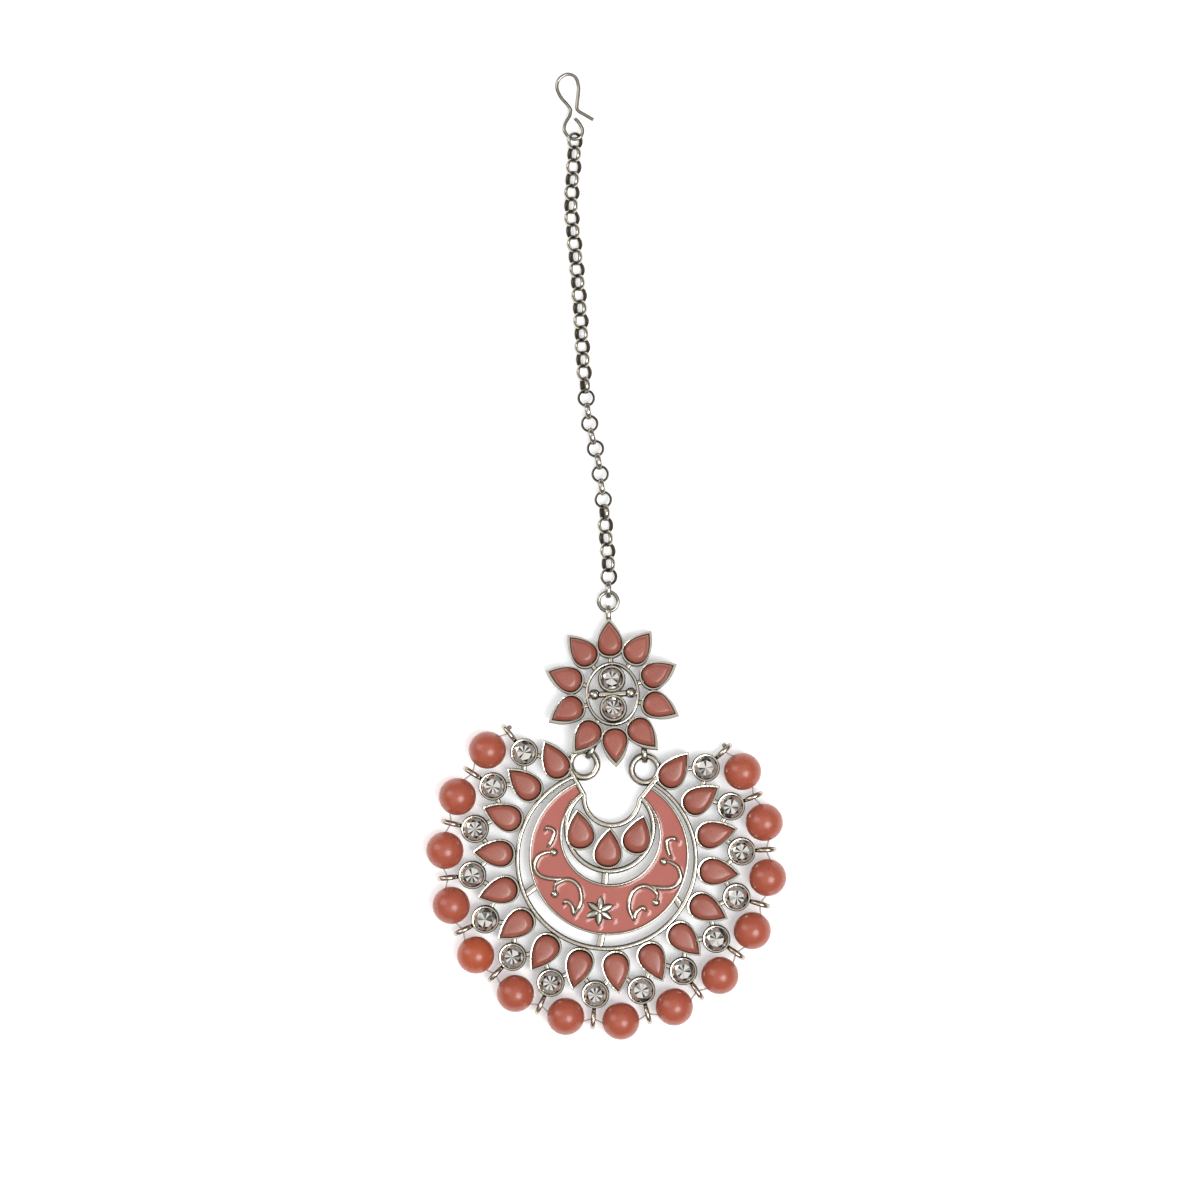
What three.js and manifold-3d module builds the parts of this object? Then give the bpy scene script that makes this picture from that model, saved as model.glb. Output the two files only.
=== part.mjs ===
// Maang tikka, a forehead pendant lying on its back: an S-hook, a belcher chain, a rosette of petals and
// a crescent pendant with cast settings, coral stones, crystals, enamel and a strung row of beads.
// Millimetres. X runs across, Y from the pendant to the hook, Z up from the table.
import * as THREE from "three";
import { mergeVertices } from "three/addons/utils/BufferGeometryUtils.js";
import Module from "manifold-3d";

const wasm = await Module();
wasm.setup();

// Clearances
const SEAT_GAP = 0.2; // between a stone or the enamel and its metal
const RUN_GAP = 0.2; // between rings, links and the thread
const SOLDER_LAP = 0.15; // how far soldered pieces run into each other

// Cast frames
const FRAME_HEIGHT = 1.8;
const CUP_HEIGHT = 2.2; // a pear setting, from its back to its rim
const CUP_FLOOR = 0.9;
const CUP_WALL = 0.25;
const BRIDGE_WIDTH = 0.8;
const BRIDGE_HEIGHT = 1;
const BRIDGE_RISE = 0.2; // above the backs of the castings

// Stones, each setting by its outside
const BORDER_PEAR = { width: 4.5, length: 6.8 };
const PETAL_PEAR = { width: 4.35, length: 6.1 };
const INNER_PEAR = { width: 4.7, length: 6.5 };
const STONE_GIRDLE = 1.3; // a pear stone's straight side
const STONE_CROWN = 0.7; // its dome above the side
const CRYSTAL_CUP = 4.4; // diameters
const CRYSTAL_GIRDLE = 3.6;
const CRYSTAL_TABLE = 2;
const CRYSTAL_CROWN = 0.55;
const CRYSTAL_CUP_HEIGHT = 2.4;

// Pendant
const PENDANT_TURN = -4.8; // degrees
const RING_RADIUS = 14.3; // outside
const RING_WIDTH = 0.7;
const BORDER_PEARS = 16;
const BORDER_STEP = 19.66; // degrees from pear to pear
const CRYSTAL_OUT = 3.5; // from the middle of the row of pears to that of the crystals
const LOOP = { half: 1.75, rise: 1.35, halfHeight: 1.55, wire: 0.7 };
const TRAY_SPACE = 1.1; // between the tray and the outer ring, were they on one middle
const TRAY = { x: 0.3, y: 0.7, radius: RING_RADIUS - RING_WIDTH - TRAY_SPACE };
const HOLE_SHARE = 0.608; // of the tray's radius
const HOLE_LIFT = 3.06; // above the middle of the tray
const TRAY_HOLE = { x: TRAY.x, y: TRAY.y + HOLE_LIFT, radius: TRAY.radius * HOLE_SHARE };
const TRAY_RIM = 0.35;
const TRAY_FLOOR = 0.9;
const ENAMEL_TOP = 1.55;
const INNER_RING_SPACE = 0.4; // between the inner ring and the hole of the tray, were they on one middle
const INNER_RING = { x: 0.07, y: 5, radius: TRAY_HOLE.radius - INNER_RING_SPACE, wire: 0.8 };
const THROAT_DEPTH = 4.6; // from the top of the outer ring down to the middle of the throat
const THROAT_SIDE = 4; // from the middle of the throat up to the ends of its wire
const THROAT = { y: RING_RADIUS - THROAT_DEPTH, radius: 4.35, wire: 0.8, lean: 34 };
const INNER_PEAR_SIDE = { x: 4.55, down: 0.7, turn: 12.6 }; // from the middle of the inner ring
const INNER_PEAR_MIDDLE = { x: 0.1, lap: 0.05 }; // its round end in the inner ring
const POST_WIDTH = 1.1;
const POST_TURNS = [-62, 0, 62]; // degrees from the foot of the pendant
const HORN_LOOP_RISE = 0.24; // above the top of the outer ring
const HORN_LOOP = { x: 4.8, y: RING_RADIUS + HORN_LOOP_RISE, radius: 2.1, wire: 1.1 };
const RELIEF = { width: 0.55, height: 1 };
const DROP_RADIUS = 0.6;
const STAR = { turn: -4, share: 0.54, radius: 2.5, petals: 6, petalWidth: 1.15, heart: 0.55 };

// Beads and thread
const BEAD_RADIUS = 2.95;
const BEAD_BORE = 0.45; // radius
const BEAD_OUT = 0.375; // from the middles of the loops to the middles of the beads
const THREAD_RADIUS = 0.15;
const KNOT_RADIUS = 0.6;

// Rosette, its petals listed clockwise from the top: place round the oval and way that the tip points
const ROSETTE_LIFT = 11.2; // above the middles of the horn loops
const ROSETTE = { x: 0.92, y: HORN_LOOP.y + ROSETTE_LIFT, turn: 2.9, tilt: 6.3 };
const PETAL_OVAL = { across: 7.65, along: 8.4, lift: 0.2 };
const PETALS = [
  { at: 0, points: 0 },
  { at: 36, points: 39 },
  { at: 72, points: 66 },
  { at: 108, points: 118 },
  { at: 144, points: 140 },
  { at: 180, points: 180 },
  { at: 216, points: 220 },
  { at: 252, points: 242 },
  { at: 288, points: 294 },
  { at: 324, points: 321 },
];
const OVAL = { across: 4.25, along: 5, wall: 0.5 };
const ROSETTE_CRYSTAL = { cup: 4.3, girdle: 3.4, reach: 2.3, wall: 0.25 };
const CROSSBAR_BALL = { x: 2.85, radius: 0.75 };
const EYELET = { across: 0.8, half: 1.35, halfHeight: 1.05, wire: 0.5 };
const BAIL = { inner: 1.15, wire: 0.56, width: 0.9 };
const BAILS = [
  { side: -1, turn: -24 },
  { side: 1, turn: 7 },
];

// Jump ring, chain and hook
const JUMP_RING = { radius: 1.5, wire: 0.6, rise: 1.15 };
const CHAIN_RADIUS = 1.45; // the room that its links fill
const CHAIN_LENGTH = 69.9; // along Y, as it lies
// Where the chain leaves the jump ring and runs to: across, and along as a share of its length
const CHAIN_ROUTE = [
  [0, 0],
  [0.03, 0.0601],
  [-0.39, 0.1187],
  [-0.63, 0.1774],
  [-1.1, 0.2346],
  [-1.65, 0.2933],
  [-2.7, 0.3505],
  [-3.5, 0.4328],
  [-4, 0.5222],
  [-4.36, 0.6094],
  [-4.84, 0.6996],
  [-5.4, 0.7854],
  [-5.8, 0.8455],
  [-5.67, 0.9041],
  [-5.4, 0.9557],
  [-5.27, 1],
];
const HOOK_WIRE = 0.48;
const HOOK_BEND_RISE = 0.26;
// Across and along from the end of the chain, and height as a share from the bend to the eye
const HOOK_ROUTE = [
  [2.9, 3.58, 0],
  [1.7, 4.31, 0],
  [0.55, 5.01, 0],
  [0.35, 5.76, 0],
  [0.55, 7.56, 0],
  [0.6, 8.86, 0],
  [0.1, 10.26, 0],
  [-1.1, 10.81, 0],
  [-2.35, 10.06, 0],
  [-2.8, 8.76, 0],
  [-2.25, 7.26, 0],
  [-1.15, 5.91, 0.25],
  [-0.65, 5.11, 0.4],
  [-0.8, 4.16, 0.55],
  [-1.5, 2.86, 0.8],
  [-1.6, 1.81, 0.95],
  [-0.95, 0.81, 1],
  [0, 0.46, 1],
  [0.9, 0.81, 1],
  [1.25, 1.86, 0.9],
  [0.7, 3.01, 0.7],
  [0.05, 3.71, 0.55],
];

// Smoothness
const PEAR_SIDES = 10;
const CUP_SIDES = 10;
const CRYSTAL_SIDES = 8;
const BEAD_SIDES = 12;
const BEAD_ROWS = 6;
const RING_SIDES = 32;
const EYE_SIDES = 10;
const CHAIN_SIDES = 8;
const CHAIN_STEPS = 24;
const LOOP_SIDES = 8;
const WIRE_SIDES = 5;
const THREAD_SIDES = 4;
const HOOK_STEPS = 28;
const MERGE = 1e-4;

const silver = new THREE.MeshStandardMaterial({ color: 0xcdc8ba, roughness: 0.3, metalness: 1 });
const coral = new THREE.MeshStandardMaterial({ color: 0xb06256, roughness: 0.35, metalness: 0 });
const beadCoral = new THREE.MeshStandardMaterial({ color: 0xbd6552, roughness: 0.3, metalness: 0 });
const enamelCoral = new THREE.MeshStandardMaterial({ color: 0xc86c62, roughness: 0.2, metalness: 0 });
const crystal = new THREE.MeshStandardMaterial({ color: 0xe8e8ea, roughness: 0.05, metalness: 0 });
const cotton = new THREE.MeshStandardMaterial({ color: 0xc9c4c0, roughness: 0.8, metalness: 0 });

const radians = THREE.MathUtils.degToRad;

// A point on a circle, its angle counted from the foot of the pendant towards +X
function polar(radius, degrees) {
  return new THREE.Vector2(Math.sin(radians(degrees)), -Math.cos(radians(degrees))).multiplyScalar(radius);
}

function solid(geometry) {
  const bare = geometry.clone();
  bare.deleteAttribute("normal");
  bare.deleteAttribute("uv");
  const merged = mergeVertices(bare, MERGE);
  const corners = merged.index.array;
  const triVerts = [];
  for (let i = 0; i < corners.length; i += 3) {
    const [a, b, c] = [corners[i], corners[i + 1], corners[i + 2]];
    if (a !== b && b !== c && c !== a) triVerts.push(a, b, c);
  }
  return new wasm.Manifold(
    new wasm.Mesh({
      numProp: 3,
      vertProperties: merged.getAttribute("position").array,
      triVerts: new Uint32Array(triVerts),
    }),
  );
}

function join(solids) {
  if (solids.length === 1) return solids[0];
  const half = Math.ceil(solids.length / 2);
  return join(solids.slice(0, half)).add(join(solids.slice(half)));
}

function geometryOf(body) {
  const { vertProperties, triVerts } = body.getMesh();
  return new THREE.BufferGeometry()
    .setAttribute("position", new THREE.BufferAttribute(vertProperties, 3))
    .setIndex(new THREE.BufferAttribute(triVerts, 1));
}

function named(name, geometry, material) {
  const mesh = new THREE.Mesh(geometry, material);
  mesh.name = name;
  return mesh;
}

// Turned about Z by degrees, then moved
function placed(geometry, x, y, z = 0, degrees = 0) {
  return geometry.clone().rotateZ(radians(degrees)).translate(x, y, z);
}

// A turned body about Z from a profile of [radius, height], bottom first
function turned(profile, sides) {
  const points = profile.map(([radius, height]) => new THREE.Vector2(radius, height));
  return new THREE.LatheGeometry(points, sides).rotateX(Math.PI / 2);
}

// A turned body drawn out into a pear outline, tip towards +Y, from a profile of [share, height]
function pearBody(profile, width, length) {
  const points = profile.map(([share, height]) => new THREE.Vector2(share, height));
  const geometry = new THREE.LatheGeometry(points, PEAR_SIDES);
  const position = geometry.getAttribute("position");
  const fullness = (3 * Math.sqrt(3)) / 4; // brings the widest place to the full width
  for (let i = 0; i < position.count; i += 1) {
    const share = Math.hypot(position.getX(i), position.getZ(i));
    const angle = Math.atan2(position.getX(i), position.getZ(i));
    const swell = fullness * Math.sin(angle) * Math.abs(Math.sin(angle / 2));
    position.setXYZ(
      i,
      (-share * width * swell) / 2,
      (share * length * Math.cos(angle)) / 2,
      position.getY(i),
    );
  }
  return geometry;
}

function pearBlock({ width, length }, low, high) {
  const profile = [
    [0, low],
    [1, low],
    [1, high],
    [0, high],
  ];
  return pearBody(profile, width, length);
}

// The pear-shaped room inside a setting, its walls thicker at the tip
function pearRoom({ width, length }) {
  const share = 1 - (2 * CUP_WALL) / width;
  return { width: width * share, length: length * share };
}

// The outsides of like settings, and the rooms that are cut out of them once they are soldered together
function pearBlocks(pear, places) {
  return places.map(({ x, y, turn }) => solid(placed(pearBlock(pear, 0, CUP_HEIGHT), x, y, 0, turn)));
}

function pearRooms(pear, places) {
  const room = pearBlock(pearRoom(pear), CUP_FLOOR, CUP_HEIGHT + 1);
  return places.map(({ x, y, turn }) => solid(placed(room, x, y, 0, turn)));
}

function pearStone(pear) {
  const room = pearRoom(pear);
  const bottom = CUP_FLOOR + SEAT_GAP;
  const profile = [
    [0, bottom],
    [1, bottom],
    [1, bottom + STONE_GIRDLE],
    [0.62, bottom + STONE_GIRDLE + STONE_CROWN],
    [0, bottom + STONE_GIRDLE + STONE_CROWN],
  ];
  return pearBody(profile, room.width - 2 * SEAT_GAP, room.length - 3 * SEAT_GAP);
}

// A ring of wire in the XY plane, with five sides and a ridge on the inside of the wire
function wireRing(radius, wire, band, sides) {
  const profile = Array.from({ length: WIRE_SIDES + 1 }, (_, i) => {
    const angle = Math.PI * (1 + (2 * i) / WIRE_SIDES);
    return [radius + (wire / 2) * Math.cos(angle), (band / 2) * Math.sin(angle)];
  });
  return turned(profile, sides);
}

function disc({ x = 0, y, radius }, bottom, top) {
  const shape = new THREE.Shape().absarc(x, y, radius, 0, 2 * Math.PI, false);
  const options = { depth: top - bottom, bevelEnabled: false, curveSegments: RING_SIDES / 2 };
  return solid(new THREE.ExtrudeGeometry(shape, options).translate(0, 0, bottom));
}

function ringWall(outer, inner, bottom, top) {
  return disc(outer, bottom, top).subtract(disc(inner, bottom - 1, top + 1));
}

const wireTop = THROAT.y + THROAT_SIDE;
const cutTop = 2 * RING_RADIUS; // clear above all that the bay is cut from

// The bay between the horns: a round throat and two leaning sides, drawn at a distance from their wire
function bay(offset, top, low, high) {
  const radius = THROAT.radius + offset;
  const spread = radius + (top - THROAT.y) * Math.tan(radians(THROAT.lean));
  const shape = new THREE.Shape()
    .absarc(0, THROAT.y, radius, Math.PI, 2 * Math.PI, false)
    .lineTo(spread, top)
    .lineTo(-spread, top);
  const options = { depth: high - low, bevelEnabled: false, curveSegments: RING_SIDES / 4 };
  return solid(new THREE.ExtrudeGeometry(shape, options).translate(0, 0, low));
}

// A straight bar inside the back of a casting, from one place to another
function bar(from, to, width, height) {
  const length = from.distanceTo(to);
  const turn = Math.atan2(to.y - from.y, to.x - from.x);
  return new THREE.BoxGeometry(length, width, height - BRIDGE_RISE)
    .rotateZ(turn)
    .translate((from.x + to.x) / 2, (from.y + to.y) / 2, (height + BRIDGE_RISE) / 2);
}

// A place on the tray: an angle from its foot, and a share from its hole to its edge
function trayPlace(degrees, share) {
  const inner = polar(TRAY_HOLE.radius, degrees).add(new THREE.Vector2(TRAY_HOLE.x, TRAY_HOLE.y));
  const outer = polar(TRAY.radius, degrees).add(new THREE.Vector2(TRAY.x, TRAY.y));
  return inner.lerp(outer, share);
}

// Scrollwork of one half of the tray, from its outermost stroke to the star
const STROKES = [
  {
    name: "crook",
    steps: 4,
    points: [
      [100, 0.63],
      [101, 0.49],
      [95, 0.26],
      [87, 0.3],
      [82, 0.45],
    ],
  },
  {
    name: "stem",
    steps: 7,
    points: [
      [75, 0.3],
      [79, 0.5],
      [80, 0.72],
      [75, 0.87],
      [67, 0.81],
      [60, 0.66],
      [52, 0.46],
      [46, 0.3],
    ],
  },
  {
    name: "curl",
    steps: 7,
    points: [
      [47, 0.68],
      [50, 0.58],
      [48, 0.42],
      [43, 0.27],
      [35, 0.21],
      [27, 0.27],
      [22, 0.5],
      [24, 0.8],
    ],
  },
  {
    name: "barb",
    steps: 3,
    points: [
      [24, 0.8],
      [28, 0.65],
      [34, 0.63],
      [36, 0.74],
    ],
  },
];
const DROPS = [
  [74, 0.28],
  [46, 0.7],
];

// A ridge of metal on the tray floor along one stroke, for one side of the tray, or the slot that holds it
function ribbon(stroke, side, grow, bottom, top) {
  const places = stroke.points.map(([degrees, share]) => trayPlace(side * degrees, share));
  const half = RELIEF.width / 2 + grow;
  if (grow > 0) {
    places[0].add(places[0].clone().sub(places[1]).setLength(grow));
    const last = places.length - 1;
    places[last].add(places[last].clone().sub(places[last - 1]).setLength(grow));
  }
  const route = new THREE.CatmullRomCurve3(places.map((p) => new THREE.Vector3(p.x, p.y, 0)));
  const section = new THREE.Shape([
    new THREE.Vector2(-bottom, -half),
    new THREE.Vector2(-bottom, half),
    new THREE.Vector2(-top, grow > 0 ? half : 0),
    ...(grow > 0 ? [new THREE.Vector2(-top, -half)] : []),
  ]);
  return solid(new THREE.ExtrudeGeometry(section, { steps: stroke.steps, extrudePath: route }));
}

function relief(grow, bottom, top) {
  const solids = [];
  for (const side of [-1, 1]) {
    for (const stroke of STROKES) solids.push(ribbon(stroke, side, grow, bottom, top));
    for (const [degrees, share] of DROPS) {
      const place = trayPlace(side * degrees, share);
      const radius = DROP_RADIUS + grow;
      const profile = [
        [0, bottom],
        [radius, bottom],
        [radius, (bottom + top) / 2],
        [radius / 2, top],
        [0, top],
      ];
      solids.push(solid(placed(turned(profile, 8), place.x, place.y)));
    }
  }
  return join(solids);
}

// The star flower: ridged petals round a small heart
function star(grow, bottom, top) {
  const centre = trayPlace(STAR.turn, STAR.share);
  const solids = [];
  for (let i = 0; i < STAR.petals; i += 1) {
    const degrees = (360 / STAR.petals) * i;
    const reach = STAR.radius / 2;
    const petal = new THREE.CylinderGeometry(0.25, 1, top - bottom, 4, 1)
      .rotateX(Math.PI / 2)
      .scale(STAR.petalWidth / 2 + grow, reach + grow, 1)
      .translate(0, reach, (bottom + top) / 2);
    solids.push(solid(placed(petal, centre.x, centre.y, 0, degrees)));
  }
  const heart = new THREE.CylinderGeometry(STAR.heart, STAR.heart + grow, top - bottom, 8, 1)
    .rotateX(Math.PI / 2)
    .translate(centre.x, centre.y, (bottom + top) / 2);
  solids.push(solid(heart));
  return join(solids);
}

const pearRing = RING_RADIUS + BORDER_PEAR.length / 2 - SOLDER_LAP / 2;
const pearTurn = (i) => (i - (BORDER_PEARS - 1) / 2) * BORDER_STEP;
const crystalTurn = (i) => pearTurn(i) + BORDER_STEP / 2;
const crystalRing = pearRing + CRYSTAL_OUT;
const loopRing = crystalRing + CRYSTAL_CUP / 2 + LOOP.half - SOLDER_LAP;
const beadRing = loopRing + BEAD_OUT;
const loopHole = LOOP.halfHeight - LOOP.wire;
const pendantRise = BEAD_RADIUS + THREAD_RADIUS + RUN_GAP - loopHole - LOOP.rise;

// A crystal's cup, with its faceted crown soldered in
function crystalInCup() {
  const table = CRYSTAL_CUP_HEIGHT + CRYSTAL_CROWN - SEAT_GAP;
  const profile = [
    [0, 0],
    [CRYSTAL_CUP / 2, 0],
    [CRYSTAL_CUP / 2, CRYSTAL_CUP_HEIGHT],
    [CRYSTAL_GIRDLE / 2, CRYSTAL_CUP_HEIGHT - SEAT_GAP],
    [CRYSTAL_TABLE / 2, table],
    [0, table],
  ];
  return turned(profile, CRYSTAL_SIDES);
}

// A cast loop standing on edge, its plane through +Y and Z
function castLoop() {
  const middle = LOOP.half - LOOP.wire / 2;
  return wireRing(middle, LOOP.wire, LOOP.wire, LOOP_SIDES)
    .rotateY(Math.PI / 2)
    .scale(1, 1, LOOP.halfHeight / LOOP.half)
    .translate(0, 0, LOOP.rise);
}

const borderPlaces = Array.from({ length: BORDER_PEARS }, (_, i) => {
  const { x, y } = polar(pearRing, pearTurn(i));
  return { x, y, turn: pearTurn(i) + 180 };
});

function borderField() {
  const solids = pearBlocks(BORDER_PEAR, borderPlaces);
  const crown = crystalInCup();
  const loop = castLoop();
  for (let i = 0; i < BORDER_PEARS - 1; i += 1) {
    const place = polar(crystalRing, crystalTurn(i));
    const eye = polar(loopRing, crystalTurn(i));
    solids.push(solid(placed(crown, place.x, place.y, 0, crystalTurn(i))));
    solids.push(solid(placed(loop, eye.x, eye.y, 0, crystalTurn(i))));
    for (const neighbour of [i, i + 1]) {
      const seat = polar(pearRing, pearTurn(neighbour));
      solids.push(solid(bar(place, seat, BRIDGE_WIDTH, CUP_FLOOR - 0.05)));
    }
  }
  return join(solids);
}

function trayAndRings() {
  const high = FRAME_HEIGHT + 1;
  const opening = bay(0, cutTop, -1, high);
  const ringHole = { y: 0, radius: RING_RADIUS - RING_WIDTH };
  const ring = ringWall({ y: 0, radius: RING_RADIUS }, ringHole, 0, FRAME_HEIGHT);
  const pocket = ringWall(
    { ...TRAY, radius: TRAY.radius - TRAY_RIM },
    { ...TRAY_HOLE, radius: TRAY_HOLE.radius + TRAY_RIM },
    TRAY_FLOOR,
    high,
  );
  const tray = ringWall(TRAY, TRAY_HOLE, 0, FRAME_HEIGHT).subtract(pocket);
  const innerHole = { ...INNER_RING, radius: INNER_RING.radius - INNER_RING.wire };
  const innerRing = ringWall(INNER_RING, innerHole, 0, FRAME_HEIGHT);
  const rings = join([ring, tray, innerRing]).subtract(opening);
  const half = THROAT.wire / 2;
  const throat = bay(half, wireTop, 0, FRAME_HEIGHT).subtract(bay(-half, cutTop, -1, high));
  return rings.add(throat);
}

const sideY = INNER_RING.y - INNER_PEAR_SIDE.down;
const ringFoot = INNER_RING.y - INNER_RING.radius + INNER_RING.wire;
const middleY = ringFoot + INNER_PEAR.length / 2 - INNER_PEAR_MIDDLE.lap;
const innerPearPlaces = [
  { name: "inner_pear_left", x: -INNER_PEAR_SIDE.x, y: sideY, turn: INNER_PEAR_SIDE.turn },
  { name: "inner_pear_middle", x: INNER_PEAR_MIDDLE.x, y: middleY, turn: 0 },
  { name: "inner_pear_right", x: INNER_PEAR_SIDE.x, y: sideY, turn: -INNER_PEAR_SIDE.turn },
];

// From the middle of each inner setting straight out to the inner ring
function innerBars() {
  const ring = new THREE.Vector2(INNER_RING.x, INNER_RING.y);
  return innerPearPlaces.map(({ x, y }) => {
    const seat = new THREE.Vector2(x, y);
    const out = seat.clone().sub(ring).setLength(INNER_RING.radius - INNER_RING.wire / 2);
    return solid(bar(seat, out.add(ring), BRIDGE_WIDTH, CUP_FLOOR - 0.05));
  });
}

function posts() {
  const inside = new THREE.Vector2(0, INNER_RING.y - INNER_RING.radius + INNER_RING.wire / 2);
  const holeFoot = new THREE.Vector2(0, TRAY_HOLE.y - TRAY_HOLE.radius - TRAY_RIM / 2);
  const solids = [solid(bar(inside, holeFoot, POST_WIDTH, BRIDGE_HEIGHT))];
  for (const turn of POST_TURNS) {
    const edge = polar(TRAY.radius - TRAY_RIM / 2, turn).add(new THREE.Vector2(TRAY.x, TRAY.y));
    solids.push(solid(bar(edge, polar(RING_RADIUS - RING_WIDTH / 2, turn), POST_WIDTH, BRIDGE_HEIGHT)));
  }
  return solids;
}

function hornLoops() {
  const { x, y, radius, wire } = HORN_LOOP;
  const ring = wireRing(radius, wire, wire, RING_SIDES / 3);
  return [-x, x].map((across) => solid(placed(ring, across, y, wire / 2)));
}

function pendantFrame() {
  const reliefTop = TRAY_FLOOR + RELIEF.height;
  const casting = join([
    trayAndRings(),
    borderField(),
    ...pearBlocks(INNER_PEAR, innerPearPlaces),
    ...innerBars(),
    ...posts(),
    ...hornLoops(),
    relief(0, TRAY_FLOOR / 2, reliefTop),
    star(0, TRAY_FLOOR / 2, reliefTop),
  ]);
  const rooms = [...pearRooms(INNER_PEAR, innerPearPlaces), ...pearRooms(BORDER_PEAR, borderPlaces)];
  return casting.subtract(join(rooms));
}

function enamel() {
  const edge = TRAY_RIM + SEAT_GAP;
  const sheet = ringWall(
    { ...TRAY, radius: TRAY.radius - edge },
    { ...TRAY_HOLE, radius: TRAY_HOLE.radius + edge },
    TRAY_FLOOR + SEAT_GAP,
    ENAMEL_TOP,
  );
  const high = FRAME_HEIGHT + 1;
  return sheet
    .subtract(bay(THROAT.wire / 2 + SEAT_GAP, cutTop, 0, high))
    .subtract(disc({ ...INNER_RING, radius: INNER_RING.radius + SEAT_GAP }, 0, high))
    .subtract(relief(SEAT_GAP, 0, high))
    .subtract(star(SEAT_GAP, 0, high));
}

function bead() {
  const start = Math.asin(BEAD_BORE / BEAD_RADIUS);
  const profile = [];
  for (let i = 0; i <= BEAD_ROWS; i += 1) {
    const angle = start + ((Math.PI - 2 * start) * i) / BEAD_ROWS;
    profile.push(new THREE.Vector2(BEAD_RADIUS * Math.sin(angle), -BEAD_RADIUS * Math.cos(angle)));
  }
  profile.push(profile[0].clone());
  return new THREE.LatheGeometry(profile, BEAD_SIDES);
}

// A route of straight stretches whose steps fall on its corners
class Polyline extends THREE.Curve {
  constructor(points) {
    super();
    this.points = points;
  }
  getPoint(t, target = new THREE.Vector3()) {
    const place = t * (this.points.length - 1);
    const i = Math.min(Math.floor(place), this.points.length - 2);
    return target.lerpVectors(this.points[i], this.points[i + 1], place - i);
  }
  getUtoTmapping(u) {
    return u;
  }
}

function roundSection(radius, sides) {
  return new THREE.Shape(
    Array.from({ length: sides }, (_, i) => {
      const angle = (2 * Math.PI * i) / sides;
      return new THREE.Vector2(radius * Math.cos(angle), radius * Math.sin(angle));
    }),
  );
}

// The thread runs straight through each bead and bends in each loop
function beadThread() {
  const points = [];
  const knotTurn = crystalTurn(0) - THREE.MathUtils.radToDeg((LOOP.wire / 2 + RUN_GAP + KNOT_RADIUS) / loopRing);
  points.push(polar(loopRing, knotTurn));
  for (let i = 0; i < BORDER_PEARS - 1; i += 1) {
    if (i > 0) {
      const middle = polar(beadRing, pearTurn(i));
      const along = polar(BEAD_RADIUS, pearTurn(i) + 90);
      points.push(middle.clone().sub(along), middle.clone().add(along));
    }
    points.push(polar(loopRing, crystalTurn(i)));
  }
  points.push(polar(loopRing, -knotTurn));
  const route = new Polyline(points.map((p) => new THREE.Vector3(p.x, p.y, 0)));
  const section = roundSection(THREAD_RADIUS, THREAD_SIDES);
  const strand = new THREE.ExtrudeGeometry(section, { steps: points.length - 1, extrudePath: route });
  const knots = [points[0], points[points.length - 1]].map((p) =>
    solid(new THREE.SphereGeometry(KNOT_RADIUS, LOOP_SIDES, LOOP_SIDES / 2).translate(p.x, p.y, 0)),
  );
  return join([solid(strand), ...knots]);
}

function numbered(name, number) {
  return `${name}_${String(number).padStart(2, "0")}`;
}

function setStone(name, geometry, { x, y, turn }) {
  const stone = named(name, geometry, coral);
  stone.position.set(x, y, 0);
  stone.rotation.z = radians(turn);
  return stone;
}

function pendant() {
  const group = new THREE.Group();
  group.rotation.z = radians(PENDANT_TURN);
  group.position.z = pendantRise;
  group.add(named("pendant_frame", geometryOf(pendantFrame()), silver));
  group.add(named("enamel_crescent", geometryOf(enamel()), enamelCoral));
  for (const place of innerPearPlaces) group.add(setStone(place.name, pearStone(INNER_PEAR), place));
  borderPlaces.forEach((place, i) => {
    group.add(setStone(numbered("border_pear", i + 1), pearStone(BORDER_PEAR), place));
  });
  return group;
}

function beadRow() {
  const group = new THREE.Group();
  group.rotation.z = radians(PENDANT_TURN);
  group.position.z = BEAD_RADIUS;
  for (let i = 1; i < BORDER_PEARS - 1; i += 1) {
    const ball = named(numbered("bead", i), bead(), beadCoral);
    const place = polar(beadRing, pearTurn(i));
    ball.position.set(place.x, place.y, 0);
    ball.rotation.z = radians(pearTurn(i) - 90);
    group.add(ball);
  }
  group.add(named("bead_thread", geometryOf(beadThread()), cotton));
  return group;
}

// Where a petal's setting lies in the rosette, and the turn of its tip from +Y
function petalPlace({ at, points }) {
  return {
    x: PETAL_OVAL.across * Math.sin(radians(at)),
    y: PETAL_OVAL.along * Math.cos(radians(at)) + PETAL_OVAL.lift,
    turn: -points,
  };
}

const petalReach = PETAL_OVAL.along + PETAL_OVAL.lift + PETAL_PEAR.length / 2;
const eyeletAt = petalReach + EYELET.half - SOLDER_LAP * 2;
const rosetteRise = (eyeletAt + EYELET.half) * Math.sin(radians(ROSETTE.tilt));

function rosetteGroup() {
  const group = new THREE.Group();
  group.rotation.set(radians(-ROSETTE.tilt), 0, radians(ROSETTE.turn));
  group.position.set(ROSETTE.x, ROSETTE.y, rosetteRise);
  group.updateMatrixWorld(true);
  return group;
}

function ovalDisc(across, along, bottom, top) {
  const shape = new THREE.Shape().absellipse(0, 0, across, along, 0, 2 * Math.PI, false);
  const options = { depth: top - bottom, bevelEnabled: false, curveSegments: RING_SIDES / 4 };
  return solid(new THREE.ExtrudeGeometry(shape, options).translate(0, 0, bottom));
}

function ovalRing() {
  const { across, along, wall } = OVAL;
  const hole = ovalDisc(across - wall, along - wall, -1, FRAME_HEIGHT + 1);
  return ovalDisc(across, along, 0, FRAME_HEIGHT).subtract(hole);
}

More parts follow.
